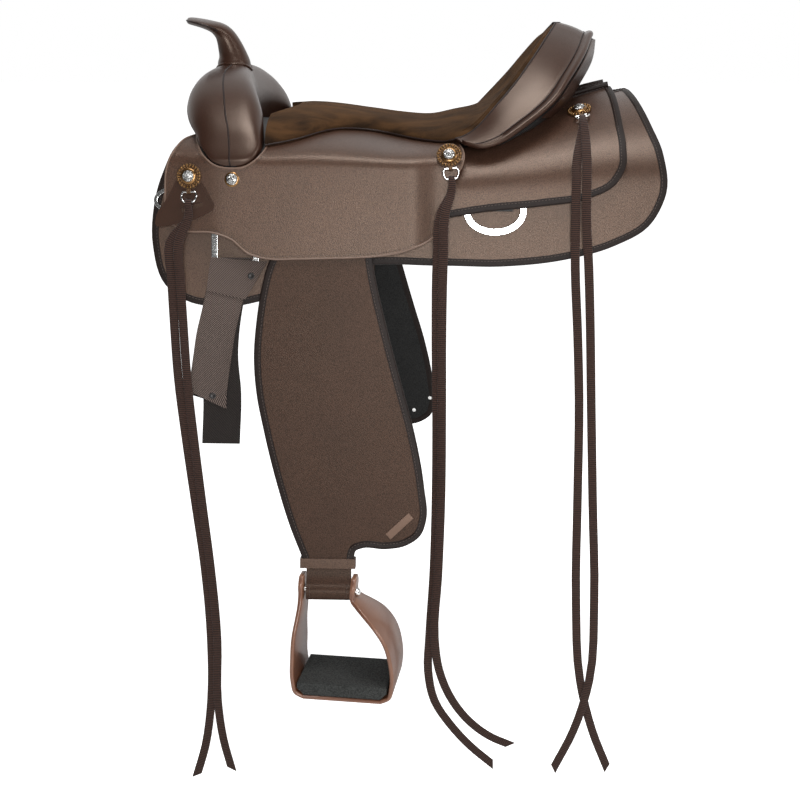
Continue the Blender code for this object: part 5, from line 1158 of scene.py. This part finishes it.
def rim_stations():
    """Places round the cantle's edge from the near wing over the top to the off wing."""
    wing = [(Vector(v[:3]), Vector(v[5:])) for v in cantle_stations[:-1]]
    top = cantle_stations[-1]
    crest = []
    for q in (step / 8 for step in range(-8, 9)):
        bow_out = 1 - q * q
        welt = Vector((top[5] + 0.003 * bow_out, top[6] * q, top[7] + 0.002 * bow_out))
        crest.append((cantle_face(top, q), welt))
    wing = [(rim, welt + (rim - welt).normalized() * BACK_DRAW) for rim, welt in wing]
    crest = [(rim, welt + (rim - welt).normalized() * BACK_DRAW) for rim, welt in crest]
    near = [(Vector((r.x, -r.y, r.z)), Vector((w.x, -w.y, w.z))) for r, w in wing]
    return near + crest + list(reversed(wing))


cantle_edge = rim_stations()
inner_point = Vector((0.15, 0, 0.06))
rings = []
front_cord = []
second_cord = []
last = len(cantle_edge) - 1
for i, (rim, welt) in enumerate(cantle_edge):
    ahead = (cantle_edge[min(i + 1, last)][0] - cantle_edge[max(i - 1, 0)][0]).normalized()
    over = (welt - rim).normalized()
    out = ahead.cross(over).normalized()
    if out.dot(rim - inner_point) < 0:
        out = -out
    start = rim + out * GAP
    low = welt + out * GAP
    middle = welt + out * (GAP + WELT_R)
    wide = (low - over * WELT_R - start).length
    belly = [start + over * wide * t + out * (BOXING_T + 0.0016 * math.sin(math.pi * t))
             for t in (0.02, 0.2, 0.4, 0.6, 0.8, 0.96)]
    roll = [middle + WELT_R * (out * math.sin(math.radians(turn)) + over * math.cos(math.radians(turn)))
            for turn in range(120, -121, -20)]
    rings.append([start] + belly + roll + [low - over * WELT_R])
    front_cord.append(start + out * BOXING_T * 0.8 - over * 0.0004)
    second_cord.append(low - over * (WELT_R + 0.0046) + out * (BOXING_T + 0.0006))
make_piece("cantle_band", loft(rings), smooth_leather, "saddle", ["cantle_boxing"], sharp=SHARP_BEYOND)
make_piece("cantle_front_cord", bead(front_cord, 0.0013), welt_leather, "saddle")
make_piece("cantle_seam_cord", bead(second_cord, 0.0008), welt_leather, "saddle")

BACK_LIFT = 0.0012
BACK_SHARE = 0.975
back_top = []
back_low = []
for r, station in enumerate(cantle_stations):
    reach = Vector(station[5:]) - Vector(station[:3])
    row_top = []
    row_low = []
    for q in across[4:-4]:
        way = Vector((reach.x, reach.y * q, reach.z))
        if r < len(cantle_stations) - 1:
            way -= Vector((0, 0, 0.012)) * (1 - q * q)
        low = cantle_face(station, q) + way * BACK_SHARE
        row_low.append(low)
        row_top.append(low + way.normalized() * BACK_LIFT)
    back_top.append(row_top)
    back_low.append(row_low)
shape = grid_shell(back_top[14:], back_low[14:])
make_piece("cantle_back", shape, smooth_leather, "saddle", sharp=SHARP_BEYOND)


# Latigo and billet. Soft ribbed webbing folded over the low bar of the front dees: the
# near one long and doubled for the girth, with eyelets, and the off one a short billet.
LATIGO_T = 0.0017
LATIGO_W = 0.050
LATIGO_LOOP_W = 0.0405
FLAP_RIM = [(-0.2490, -0.1035), (-0.1775, -0.1092), (-0.2057, -0.1568), (-0.2556, -0.1459)]
FLAP_T = 0.0013
FLAP_EYELET = (-0.1980, -0.1267)
LEG_EYELET = (-0.2522, -0.2840)


def webbing_finish(name, slot, tone, valley, rib, slant=0.0, painted_shade_until=0.0):
    """Woven webbing: ribs across its length, and painted shade that darkens the strap's first stretch, where
    its back leg hangs in shadow, from the strap's length map.
    """
    finish, tree, shader = new_finish(name, slot, Specular_IOR_Level=0.2, Roughness=0.78, Sheen_Weight=0.15,
                                      Sheen_Roughness=0.5)
    strap_map = add_node(tree, "ShaderNodeUVMap", uv_map="length").outputs[0]
    across_strap, along_strap, _ = add_node(tree, "ShaderNodeSeparateXYZ", {0: strap_map}).outputs
    leaning = math_node(tree, "MULTIPLY_ADD", across_strap, slant, along_strap)
    wave = math_node(tree, "SINE", math_node(tree, "MULTIPLY", leaning, 2 * math.pi / rib))
    rise = ranged(tree, wave, -0.7, 0.9)
    fuzz = noise(tree, object_place(tree), 1400.0, 3.0)
    speck = ranged(tree, fuzz, 0.0, 1.0, 0.75, 1.25)
    # painted shade: the strap is darkened along its first stretch, standing in for the shadow on the back leg
    painted_light = ranged(tree, along_strap, painted_shade_until - 0.06, painted_shade_until, 0.18 if painted_shade_until else 1.0)
    colour = mixed(tree, rise, linear(valley), linear(tone))
    shade = math_node(tree, "MULTIPLY", speck, painted_light)
    join(tree, shader, rise, 0.0003, Base_Color=scaled(tree, colour, shade))
    return finish


def strap_shape(points, faces, widths, thickness, slants=(0, 0), sway=None):
    """A flat strap with round edges; faces are its outward directions, slants its cut ends."""
    shape = bmesh.new()
    uv = shape.loops.layers.uv.new("length")
    rows = []
    reach = [0.0]
    last = len(points) - 1
    section = [(-1.0, 0.0), (-0.97, 0.7), (-0.90, 1.0), (0.0, 1.0), (0.90, 1.0), (0.97, 0.7), (1.0, 0.0),
               (0.97, -0.7), (0.90, -1.0), (0.0, -1.0), (-0.90, -1.0), (-0.97, -0.7)]
    for i, (point, out) in enumerate(zip(points, faces)):
        ahead = points[min(i + 1, last)] - points[max(i - 1, 0)]
        ahead.x *= sway[i] if sway else 0
        ahead.normalize()
        out = (out - ahead * out.dot(ahead)).normalized()
        over = ahead.cross(out).normalized()
        lean = ahead * (slants[0] if i == 0 else slants[1] if i == last else 0)
        rows.append([shape.verts.new(point + over * a * widths[i] / 2 + out * b * thickness / 2 + lean * a)
                     for a, b in section])
        if i:
            reach.append(reach[-1] + (points[i] - points[i - 1]).length)
    count = len(section)
    for i in range(last):
        for k in range(count):
            n = (k + 1) % count
            face = shape.faces.new((rows[i][k], rows[i][n], rows[i + 1][n], rows[i + 1][k]))
            spots = ((k, i), (n, i), (n, i + 1), (k, i + 1))
            for loop, (corner, row) in zip(face.loops, spots):
                loop[uv].uv = (section[corner][0] * widths[row] / 2, reach[row])
    shape.faces.new(list(reversed(rows[0])))
    shape.faces.new(rows[-1])
    return shape


def in_step(items, steps):
    """The values of a route's points, spread over the finer line drawn through them."""
    spread = []
    for i in range(len(items) - 1):
        for step in range(steps):
            spread.append(items[i] + (items[i + 1] - items[i]) * (step / steps))
    return spread + [items[-1]]


# the latigo's back leg gets painted shade along the first 0.24 m of the strap
latigo_webbing = webbing_finish("latigo_weave", "latigo_webbing", (106, 92, 85), (24, 20, 19), 0.0022,
                                slant=0.7, painted_shade_until=0.24)
eyelet_dark, _, _ = new_finish("eyelet_dark", "latigo_webbing", Base_Color=linear((30, 27, 26)),
                               Roughness=0.4)
bar = FRONT_DEE_LOW_Z
ring_middle = DEE_LIFT + FRONT_DEE_T / 2
strap_in = DEE_LIFT - STRAP_SLACK - LATIGO_T / 2
strap_out = FRONT_DEE_TOP + STRAP_SLACK + LATIGO_T / 2
strap_reach = strap_out - ring_middle
KNOT_Z = -0.146
EYELET = [(0, -0.0004), (0.0044, -0.0004), (0.0044, 0.0004), (0.0032, 0.0009), (0.0022, 0.0003), (0, 0.0002)]
FRONT_RUN = [(-0.2375, -0.172), (-0.2450, -0.200), (-0.2505, -0.230), (-0.2560, -0.262), (-0.2600, -0.290)]
BACK_RUN = [(-0.2440, -0.350), (-0.2400, -0.280), (-0.2425, -0.230), (-0.2400, -0.200), (-0.2355, -0.172)]
for side, word in SIDES:
    body = "front_rigging_" + word
    out = Vector((0, side * math.cos(LEAN), math.sin(LEAN)))
    up = Vector((0, -side * math.sin(LEAN), math.cos(LEAN)))
    hang_y = flat(0, -0.169, 0.0006 + LATIGO_T / 2, side).y
    longest = -0.355 if side == -1 else -0.245
    route = [(Vector((x, hang_y, z)), -out) for x, z in BACK_RUN if z > longest]
    route += [(flat(-0.2300, KNOT_Z, strap_in + 0.0004, side), -out),
              (flat(-0.2215, bar - 0.006, strap_in, side), -out)]
    for k in range(7):
        turn = math.pi * k / 6
        spot = flat(FRONT_DEE_X, bar + 0.0042 + strap_reach * math.sin(turn),
                    ring_middle - strap_reach * math.cos(turn), side)
        route.append((spot, math.sin(turn) * up - math.cos(turn) * out))
    loop = len(route)
    rest = LATIGO_T + GAP
    route += [(flat(-0.2225, bar - 0.004, strap_out, side), out),
              (flat(-0.2310, KNOT_Z, strap_in + rest + 0.0012, side), out)]
    route += [(Vector((x, hang_y + side * rest, z)), out) for x, z in FRONT_RUN if z > longest + 0.02]
    widths = [LATIGO_LOOP_W if loop - 7 <= i < loop else LATIGO_W for i in range(len(route))]
    points = smooth_line([spot for spot, _ in route], 4)
    shape = strap_shape(points, in_step([look for _, look in route], 4), in_step(widths, 4), LATIGO_T,
                        slants=(0, -0.012 if side == -1 else 0))
    name = "latigo_near" if side == -1 else "billet_off"
    make_piece(name + "_webbing", shape, latigo_webbing, body, [name], sharp=SHARP_BEYOND)

    flap_lift = along([(-0.160, 0.0055), (KNOT_Z, 0.0057), (-0.128, 0.0074), (-0.118, 0.0080),
                       (-0.100, 0.0080)])
    rim = outline(*zip(FLAP_RIM, FLAP_RIM[1:] + FLAP_RIM[:1]))
    shape = laid_sheet(rim, 0.0, FLAP_T, lambda x, z, lift: flat(x, z, flap_lift(z) + lift, side), 0.006)
    uv = shape.loops.layers.uv.new("length")
    for face in shape.faces:
        for loop in face.loops:
            loop[uv].uv = (loop.vert.co.x, 1 + loop.vert.co.z)
    make_piece(name + "_flap", shape, latigo_webbing, body, soft_edge=0.0003)
    x, z = FLAP_EYELET
    shape = turned(EYELET, side_frame(x, z, flap_lift(z) + FLAP_T, side))
    make_piece(name + "_flap_eyelet", shape, eyelet_dark, body)
    if side == -1:
        spot = side_frame(*LEG_EYELET, 0.0, side)
        spot.translation.y = hang_y + side * (rest + LATIGO_T / 2)
        make_piece(name + "_leg_eyelet", turned(EYELET, spot), eyelet_dark, body)


# Latigo keepers. A bell of smooth leather under each front concho, with a slot that the
# spare end of the latigo is tucked through.
TAB_T = 0.0025
CONCHO_POST_R = 0.003
FRONT_CONCHO = (-0.2735, 0.2330)
TAB_RIM = [(-0.2615, -0.004), (-0.2500, -0.024), (-0.2420, -0.041), (-0.2600, -0.053), (-0.2880, -0.0605),
           (-0.3180, -0.0600), (-0.3170, -0.052), (-0.3020, -0.028), (-0.2880, -0.004), (-0.2750, 0.0085),
           (-0.2615, -0.004)]
TAB_SLOT = ((-0.2830, -0.0470), (-0.2560, -0.0395), (-0.2570, -0.0345), (-0.2840, -0.0420))
for side, word in SIDES:
    body = "latigo_keeper_" + word
    x, drop = FRONT_CONCHO
    spot = jockey_form.place(x, drop, 0.0, side)
    rim = [(a, drop + (spot.z - b) / math.cos(LEAN)) for a, b in smooth_line(TAB_RIM, 8)[:-1]]
    slot = [(a, drop + (spot.z - b) / math.cos(LEAN)) for a, b in TAB_SLOT]
    lay = jockey_form.on(side)
    shape = laid_sheet(rim, GAP, GAP + TAB_T, lay, 0.006, holes=[slot])
    make_piece("keeper_bell_" + word, shape, smooth_leather, body, ["latigo_keeper_" + word],
               soft_edge=0.0007)
    shape = sewn_row(inset(rim, 0.0034), lay, GAP + TAB_T, 0.0040, 0.0020, 0.0002)
    make_piece("keeper_stitches_" + word, shape, welt_leather, body)


# Conchos and string dees. Each is a scalloped rosette of gilded leather with a beaded ring,
# a bright domed screw on a gilt collar, and a small wire dee hung from the rosette's eye.
ROSETTE_R = 0.0162
ROSETTE_T = 0.0025
DISC_SHARE = 0.7
SCALLOPS = 11
CONCHO_R = 0.0072
COLLAR_R = 0.0105
WIRE_R = 0.0012
EYE_DOWN = ROSETTE_R + 0.0032
EYE_R = 0.0028
EYE_BORE = WIRE_R + 0.0004
EYE_W = 0.0055
DEE_HALF = 0.0085
DEE_DROP = 0.0125
CONCHO_PLACES = {"front": (jockey_form, *FRONT_CONCHO, TAB_T + 2 * GAP, 0, 14),
                 "mid": (jockey_form, 0.0520, 0.1955, 0.0022, 22, -20),
                 "rear": (skirt_form, 0.2215, 0.1055, REAR_JOCKEY_TOP_LIFT + 2 * GAP, 0, 14)}
SCREW_PLACE = (-0.2198, 0.2360)


def engraved_finish():
    """Engraved steel: bright lines standing over a darkened ground."""
    finish, tree, shader = new_finish("engraved_steel", "bright_steel", Metallic=1.0, Roughness=0.3)
    cuts = {"Vector": object_place(tree), "Scale": 420.0}
    cut = add_node(tree, "ShaderNodeTexVoronoi", cuts, feature="DISTANCE_TO_EDGE").outputs["Distance"]
    ground = ranged(tree, cut, 0.05, 0.22)
    join(tree, shader, ground, 0.0003,
         Base_Color=mixed(tree, ground, linear((88, 86, 84)), linear((226, 226, 224))))
    return finish


engraved_steel = engraved_finish()
gilt_leather = grained_finish("gilt_leather", "gilt_leather", (98, 72, 46), (54, 37, 22), 0.36, 0.0016,
                              0.0001, Metallic=0.45)
gilt_metal = steel_finish("gilt_collar", "gilt_leather", (128, 98, 66), 0.28)


def scalloped_disc(place, base):
    points = []
    for k in range(SCALLOPS * 8):
        turn = 2 * math.pi * k / (SCALLOPS * 8)
        radius = ROSETTE_R * (0.955 + 0.045 * abs(math.cos(SCALLOPS * turn / 2)))
        points.append((radius * math.cos(turn), radius * math.sin(turn)))
    top = base + ROSETTE_T * DISC_SHARE
    return laid_sheet(points, base, top, lambda a, b, h: place @ Vector((a, b, h)), 0.003)


def beaded_ring(place, base):
    """Small domes round the rosette, one to each scallop, and a row of finer ones inside."""
    shape = bmesh.new()
    for radius, size in ((ROSETTE_R * 0.86, 0.0018), (ROSETTE_R * 0.72, 0.0011)):
        count = SCALLOPS * 2
        for k in range(count):
            turn = 2 * math.pi * k / count
            centre = Matrix.Translation((radius * math.cos(turn), radius * math.sin(turn), base))
            bmesh.ops.create_icosphere(shape, subdivisions=2, radius=size, matrix=place @ centre)
    return shape


def dee_wire(place, base, tipped):
    """Middle line of the small dee, hanging from the eye and tipped out a little."""
    whole = place @ Matrix.Translation((0, -EYE_DOWN, base + EYE_R)) @ Matrix.Rotation(-tipped, 4, "X")
    end = DEE_HALF - 0.001
    half = [(end, 0), (DEE_HALF + 0.0008, -0.0035), (DEE_HALF, -DEE_DROP + 0.003),
            (DEE_HALF - 0.0022, -DEE_DROP)]
    corners = [(-end, 0), (-0.0040, 0), (0, 0), (0.0040, 0)] + half + [(0, -DEE_DROP)]
    corners += [(-a, b) for a, b in reversed(half)]
    return whole, smooth_line([whole @ Vector((a, b, 0)) for a, b in corners], 6)[:-1]


def dome_profile(foot, start, high, lip):
    """Half section of a domed screw, from its foot to the middle of its top."""
    turns = [math.radians(t) for t in range(90, 0, -12)]
    dome = [(CONCHO_R * math.sin(turn), start + high * math.cos(turn)) for turn in turns]
    return [(0, foot), (CONCHO_R - lip, foot)] + dome + [(0, start + high)]


dee_frames = {}
for side, word in SIDES:
    for spot, (form, x, drop, base, turned_down, tipped) in CONCHO_PLACES.items():
        place = form.frame(x, drop, 0.0, side) @ Matrix.Rotation(math.radians(turned_down), 4, "X")
        name = spot + "_" + word
        top = base + ROSETTE_T * DISC_SHARE
        make_piece("rosette_disc_" + name, scalloped_disc(place, base), gilt_leather, "saddle",
                   ["rosette_" + name], soft_edge=0.0005)
        make_piece("rosette_beads_" + name, beaded_ring(place, top), gilt_metal, "saddle")
        pivot = next(joint["pos_m"] for joint in frame["record"]["behaviour"]["joints"]
                     if joint["name"] == "string_dee_lift_" + name)
        hung = Matrix.Translation(Vector(pivot) - place @ Vector((0, -EYE_DOWN, base + EYE_R))) @ place
        eye = [(-EYE_DOWN + EYE_R * math.cos(turn), base + EYE_R + EYE_R * math.sin(turn))
               for turn in (math.radians(60 + 300 * k / 23) for k in range(24))]
        eye += [(-ROSETTE_R + 0.003, base + 0.0003), (-ROSETTE_R + 0.003, base + ROSETTE_T * 0.6)]
        bore = [(-EYE_DOWN + EYE_BORE * math.cos(turn), base + EYE_R + EYE_BORE * math.sin(turn))
                for turn in (2 * math.pi * k / 16 for k in range(16))]
        shape = laid_sheet(eye, -EYE_W / 2, EYE_W / 2, lambda b, h, a: hung @ Vector((a, b, h)), 0.05,
                           holes=[bore])
        make_piece("rosette_eye_" + name, shape, gilt_leather, "saddle", soft_edge=0.0003)
        foot = GAP if spot == "front" else base
        profile = [(0, foot), (CONCHO_POST_R, foot), (CONCHO_POST_R, top), (COLLAR_R, top),
                   (COLLAR_R, top + 0.0012), (COLLAR_R - 0.0008, top + 0.0020),
                   (CONCHO_R + 0.0006, top + 0.0028), (0, top + 0.0028)]
        make_piece("concho_collar_" + name, turned(profile, place), gilt_metal, "saddle", sharp=TURNED_SHARP)
        shape = turned(dome_profile(top + 0.0024, top + 0.0036, 0.0030, 0.0002), place)
        make_piece("concho_dome_" + name, shape, engraved_steel, "saddle", ["concho_" + name])
        whole, line = dee_wire(hung, base, math.radians(tipped))
        dee_frames[(spot, side)] = whole
        make_piece("dee_wire_" + name, bead(line, WIRE_R, closed=True), bright_steel, "string_dee_" + name,
                   ["string_dee_" + name])
    place = jockey_form.frame(*SCREW_PLACE, 0.0, side)
    profile = [(0, GAP), (0.0092, GAP), (0.0093, 0.0010), (0.0084, 0.0018), (0.0072, 0.0020), (0, 0.0020)]
    make_piece("screw_collar_" + word, turned(profile, place), gilt_metal, "saddle", sharp=TURNED_SHARP)
    shape = turned(dome_profile(0.0016, 0.0022, 0.0022, 0.0001), place)
    make_piece("screw_dome_" + word, shape, engraved_steel, "saddle", ["screw_concho_" + word])


# Saddle strings. Flat ribbed lace, one length to each near dee, doubled through it so that
# two legs hang free with slant-cut ends. Each leg is a piece of its own from the dee's wire.
STRING_W = 0.0115
STRING_T = 0.0015
LOOP_W = 0.0085
LAYER = STRING_T + 0.0005
STRINGS = {
    "front": ([(-0.2995, -0.085), (-0.2990, -0.130), (-0.2980, -0.190), (-0.2960, -0.260), (-0.2890, -0.345),
               (-0.2795, -0.440), (-0.2715, -0.520), (-0.2665, -0.630), (-0.2695, -0.720), (-0.2800, -0.790),
               (-0.2938, -0.837)],
              [(-0.2880, -0.085), (-0.2875, -0.130), (-0.2860, -0.190), (-0.2840, -0.260), (-0.2780, -0.345),
               (-0.2700, -0.440), (-0.2630, -0.520), (-0.2575, -0.630), (-0.2600, -0.720), (-0.2540, -0.780),
               (-0.2440, -0.825)]),
    "mid": ([(0.0428, -0.045), (0.0385, -0.100), (0.0375, -0.190), (0.0390, -0.300), (0.0390, -0.420),
             (0.0365, -0.530), (0.0315, -0.620), (0.0300, -0.670), (0.0390, -0.715), (0.0620, -0.752),
             (0.0900, -0.784), (0.1209, -0.811)],
            [(0.0480, -0.045), (0.0462, -0.100), (0.0450, -0.190), (0.0457, -0.300), (0.0457, -0.420),
             (0.0425, -0.530), (0.0385, -0.620), (0.0450, -0.668), (0.0640, -0.714), (0.0880, -0.745),
             (0.1150, -0.766), (0.1438, -0.779)]),
    "rear": ([(0.2110, -0.045), (0.2122, -0.114), (0.2180, -0.200), (0.2227, -0.286), (0.2253, -0.423),
              (0.2281, -0.566), (0.2375, -0.684), (0.2566, -0.759), (0.2795, -0.817)],
             [(0.2240, -0.045), (0.2290, -0.114), (0.2340, -0.200), (0.2381, -0.286), (0.2450, -0.423),
              (0.2522, -0.565), (0.2498, -0.683), (0.2305, -0.760), (0.2047, -0.819)])}
HANG = {"front": 0.2214, "mid": 0.2200, "rear": 0.2122}
REAR_LACE_TOP = ((0.172, 0.2165, 0.2232), (0.187, 0.2135, 0.2236), (0.200, 0.2115, 0.2239),
                 (0.212, 0.2110, 0.2240), (0.222, 0.2110, 0.2240))

string_weave = webbing_finish("string_weave", "string_webbing", (62, 42, 34), (26, 17, 14), 0.0026)


def rear_lace_top(layer):
    """Where a rear leg lies on the jockey between the dee and its free hang."""
    steps = []
    for drop, x_back, x_front in REAR_LACE_TOP:
        x = x_front if layer else x_back
        height = REAR_JOCKEY_TOP_LIFT + STRING_T / 2 + 0.0010 + layer * LAYER
        here = skirt_form.place(x, drop, height, -1)
        above = skirt_form.place(x, drop, height + 0.01, -1)
        steps.append((here, (above - here).normalized()))
    return steps


for spot, legs in STRINGS.items():
    whole = dee_frames[(spot, -1)]
    turn = whole.to_3x3()
    wrap = WIRE_R + STRING_T / 2 + GAP
    for layer, leg in enumerate(legs):
        sign = 1 if layer else -1
        route = [(whole @ Vector((0, -DEE_DROP + wrap, 0)), turn @ Vector((0, 1, 0)), LOOP_W)]
        for up, out, way in ((wrap * 0.75, wrap * 0.66, (0, 0.75, 0.66)), (0, wrap, (0, 0, 1)),
                             (-0.0045, wrap * 0.92, (0, 0, 1))):
            spot_at = whole @ Vector((0, -DEE_DROP + up, sign * out))
            route.append((spot_at, turn @ Vector((0, way[1], sign * way[2])), LOOP_W))
        if spot == "rear":
            route += [(point, way * sign, STRING_W) for point, way in rear_lace_top(layer)]
        else:
            below = whole @ Vector((0, -DEE_DROP, 0)) + Vector((0, -0.0010 - sign * 0.0013, -0.016))
            route.append((below, Vector((0, -sign, 0)), (LOOP_W + STRING_W) / 2))
        for x, z in leg:
            reach = min(HANG[spot], 0.2052 + (-0.045 - z) * 0.080) if spot == "rear" else HANG[spot]
            route.append((Vector((x, -reach - layer * LAYER, z)), Vector((0, -sign, 0)), STRING_W))
        places, ways, widths = zip(*route)
        points = smooth_line(list(places), 4)
        sway = [min(1.0, max(0.0, (i / 2 - 5) / 3)) for i in range(len(points))]
        shape = strap_shape(points, in_step(ways, 4), in_step(widths, 4), STRING_T, (0, -0.005), sway)
        lace = make_piece("lace_%s_%s" % (spot, "front_leg" if layer else "back_leg"), shape, string_weave,
                          "string_dee_%s_near" % spot, ["string_" + spot], sharp=SHARP_BEYOND)


# Photograph's view. The camera stands in front of the near side, a little above the seat,
# in soft light from wide lamps and a white room that is darker below. The white floor is
# lit up for the camera's own rays only, so its glow adds nothing to the light on the saddle.
CAMERA_PLACE = (0.0677, -1.9628, 0.1967)
CAMERA_PITCH = math.radians(15.5)
CAMERA_YAW = math.radians(2.5)
FOCAL_MM = 63.0
SENSOR_MM = 36.0

FLOOR_Z = -0.862
FLOOR_SIZE = 40.0
FLOOR_GLOW = 0.75
LAMP_AIM = Vector((0, 0, -0.15))
LAMPS = (("key_lamp", (0.2, -2.9, 0.35), 1.0, 46), ("top_lamp", (0.15, -0.8, 2.2), 1.1, 44),
         ("side_lamp", (2.2, -1.2, 0.9), 1.0, 24))
HORIZON = 0.35
SKY_FROM_DOWN, SKY_FROM_UP = 0.08, 0.42
SHINE_FROM_FRONT, SHINE_FROM_BACK = 0.05, 1.0

eye = bpy.data.cameras.new("camera")
eye.lens = FOCAL_MM
eye.sensor_width = SENSOR_MM
eye.clip_end = 60.0
camera = bpy.data.objects.new("camera", eye)
camera.location = CAMERA_PLACE
camera.rotation_euler = (math.pi / 2 - CAMERA_PITCH, 0, CAMERA_YAW)
bpy.context.collection.objects.link(camera)
bpy.context.scene.camera = camera

white_floor, tree, shader = new_finish("white_floor", "felt", Base_Color=(0.95, 0.95, 0.95, 1.0),
                                       Roughness=0.9, Emission_Color=(1.0, 1.0, 1.0, 1.0))


def seen_plain(tree):
    """One for the rays of the camera, straight or through glass, and nothing for the others."""
    path = add_node(tree, "ShaderNodeLightPath").outputs
    return path, math_node(tree, "MAXIMUM", path["Is Camera Ray"], path["Is Transmission Ray"])


glow = math_node(tree, "MULTIPLY", seen_plain(tree)[1], FLOOR_GLOW)
tree.links.new(glow, shader.inputs["Emission Strength"])
floor_shape = bmesh.new()
bmesh.ops.create_grid(floor_shape, x_segments=1, y_segments=1, size=FLOOR_SIZE / 2)
floor_mesh = bpy.data.meshes.new("floor")
floor_shape.to_mesh(floor_mesh)
floor_shape.free()
floor_mesh.materials.append(white_floor)
floor = bpy.data.objects.new("floor", floor_mesh)
floor.location = (0, 0, FLOOR_Z)
bpy.context.collection.objects.link(floor)


def wide_lamp(name, place, size, power):
    lamp = bpy.data.lights.new(name, "AREA")
    lamp.shape = "DISK"
    lamp.size = size
    lamp.energy = power
    thing = bpy.data.objects.new(name, lamp)
    thing.location = place
    aim = LAMP_AIM - Vector(place)
    thing.rotation_euler = aim.to_track_quat("-Z", "Y").to_euler()
    bpy.context.collection.objects.link(thing)


for name, place, size, power in LAMPS:
    wide_lamp(name, place, size, power)

room = bpy.data.worlds.new("white_room")
room.use_nodes = True
bpy.context.scene.world = room
tree = room.node_tree
way = add_node(tree, "ShaderNodeTexCoord").outputs["Generated"]
way = add_node(tree, "ShaderNodeSeparateXYZ", {0: way}).outputs
sky = ranged(tree, way["Z"], -HORIZON, HORIZON, SKY_FROM_DOWN, SKY_FROM_UP)
shine = ranged(tree, way["Y"], 0.0, HORIZON, SHINE_FROM_FRONT, SHINE_FROM_BACK)
path, plain = seen_plain(tree)
shown = add_node(tree, "ShaderNodeMix", {0: path["Is Glossy Ray"], 2: sky, 3: shine}).outputs[0]
strength = add_node(tree, "ShaderNodeMix", {0: plain, 2: shown, 3: 1.0}).outputs[0]
backdrop = tree.nodes["Background"]
backdrop.inputs["Color"].default_value = (1, 1, 1, 1)
tree.links.new(strength, backdrop.inputs["Strength"])
bpy.context.scene.view_settings.view_transform = "Standard"
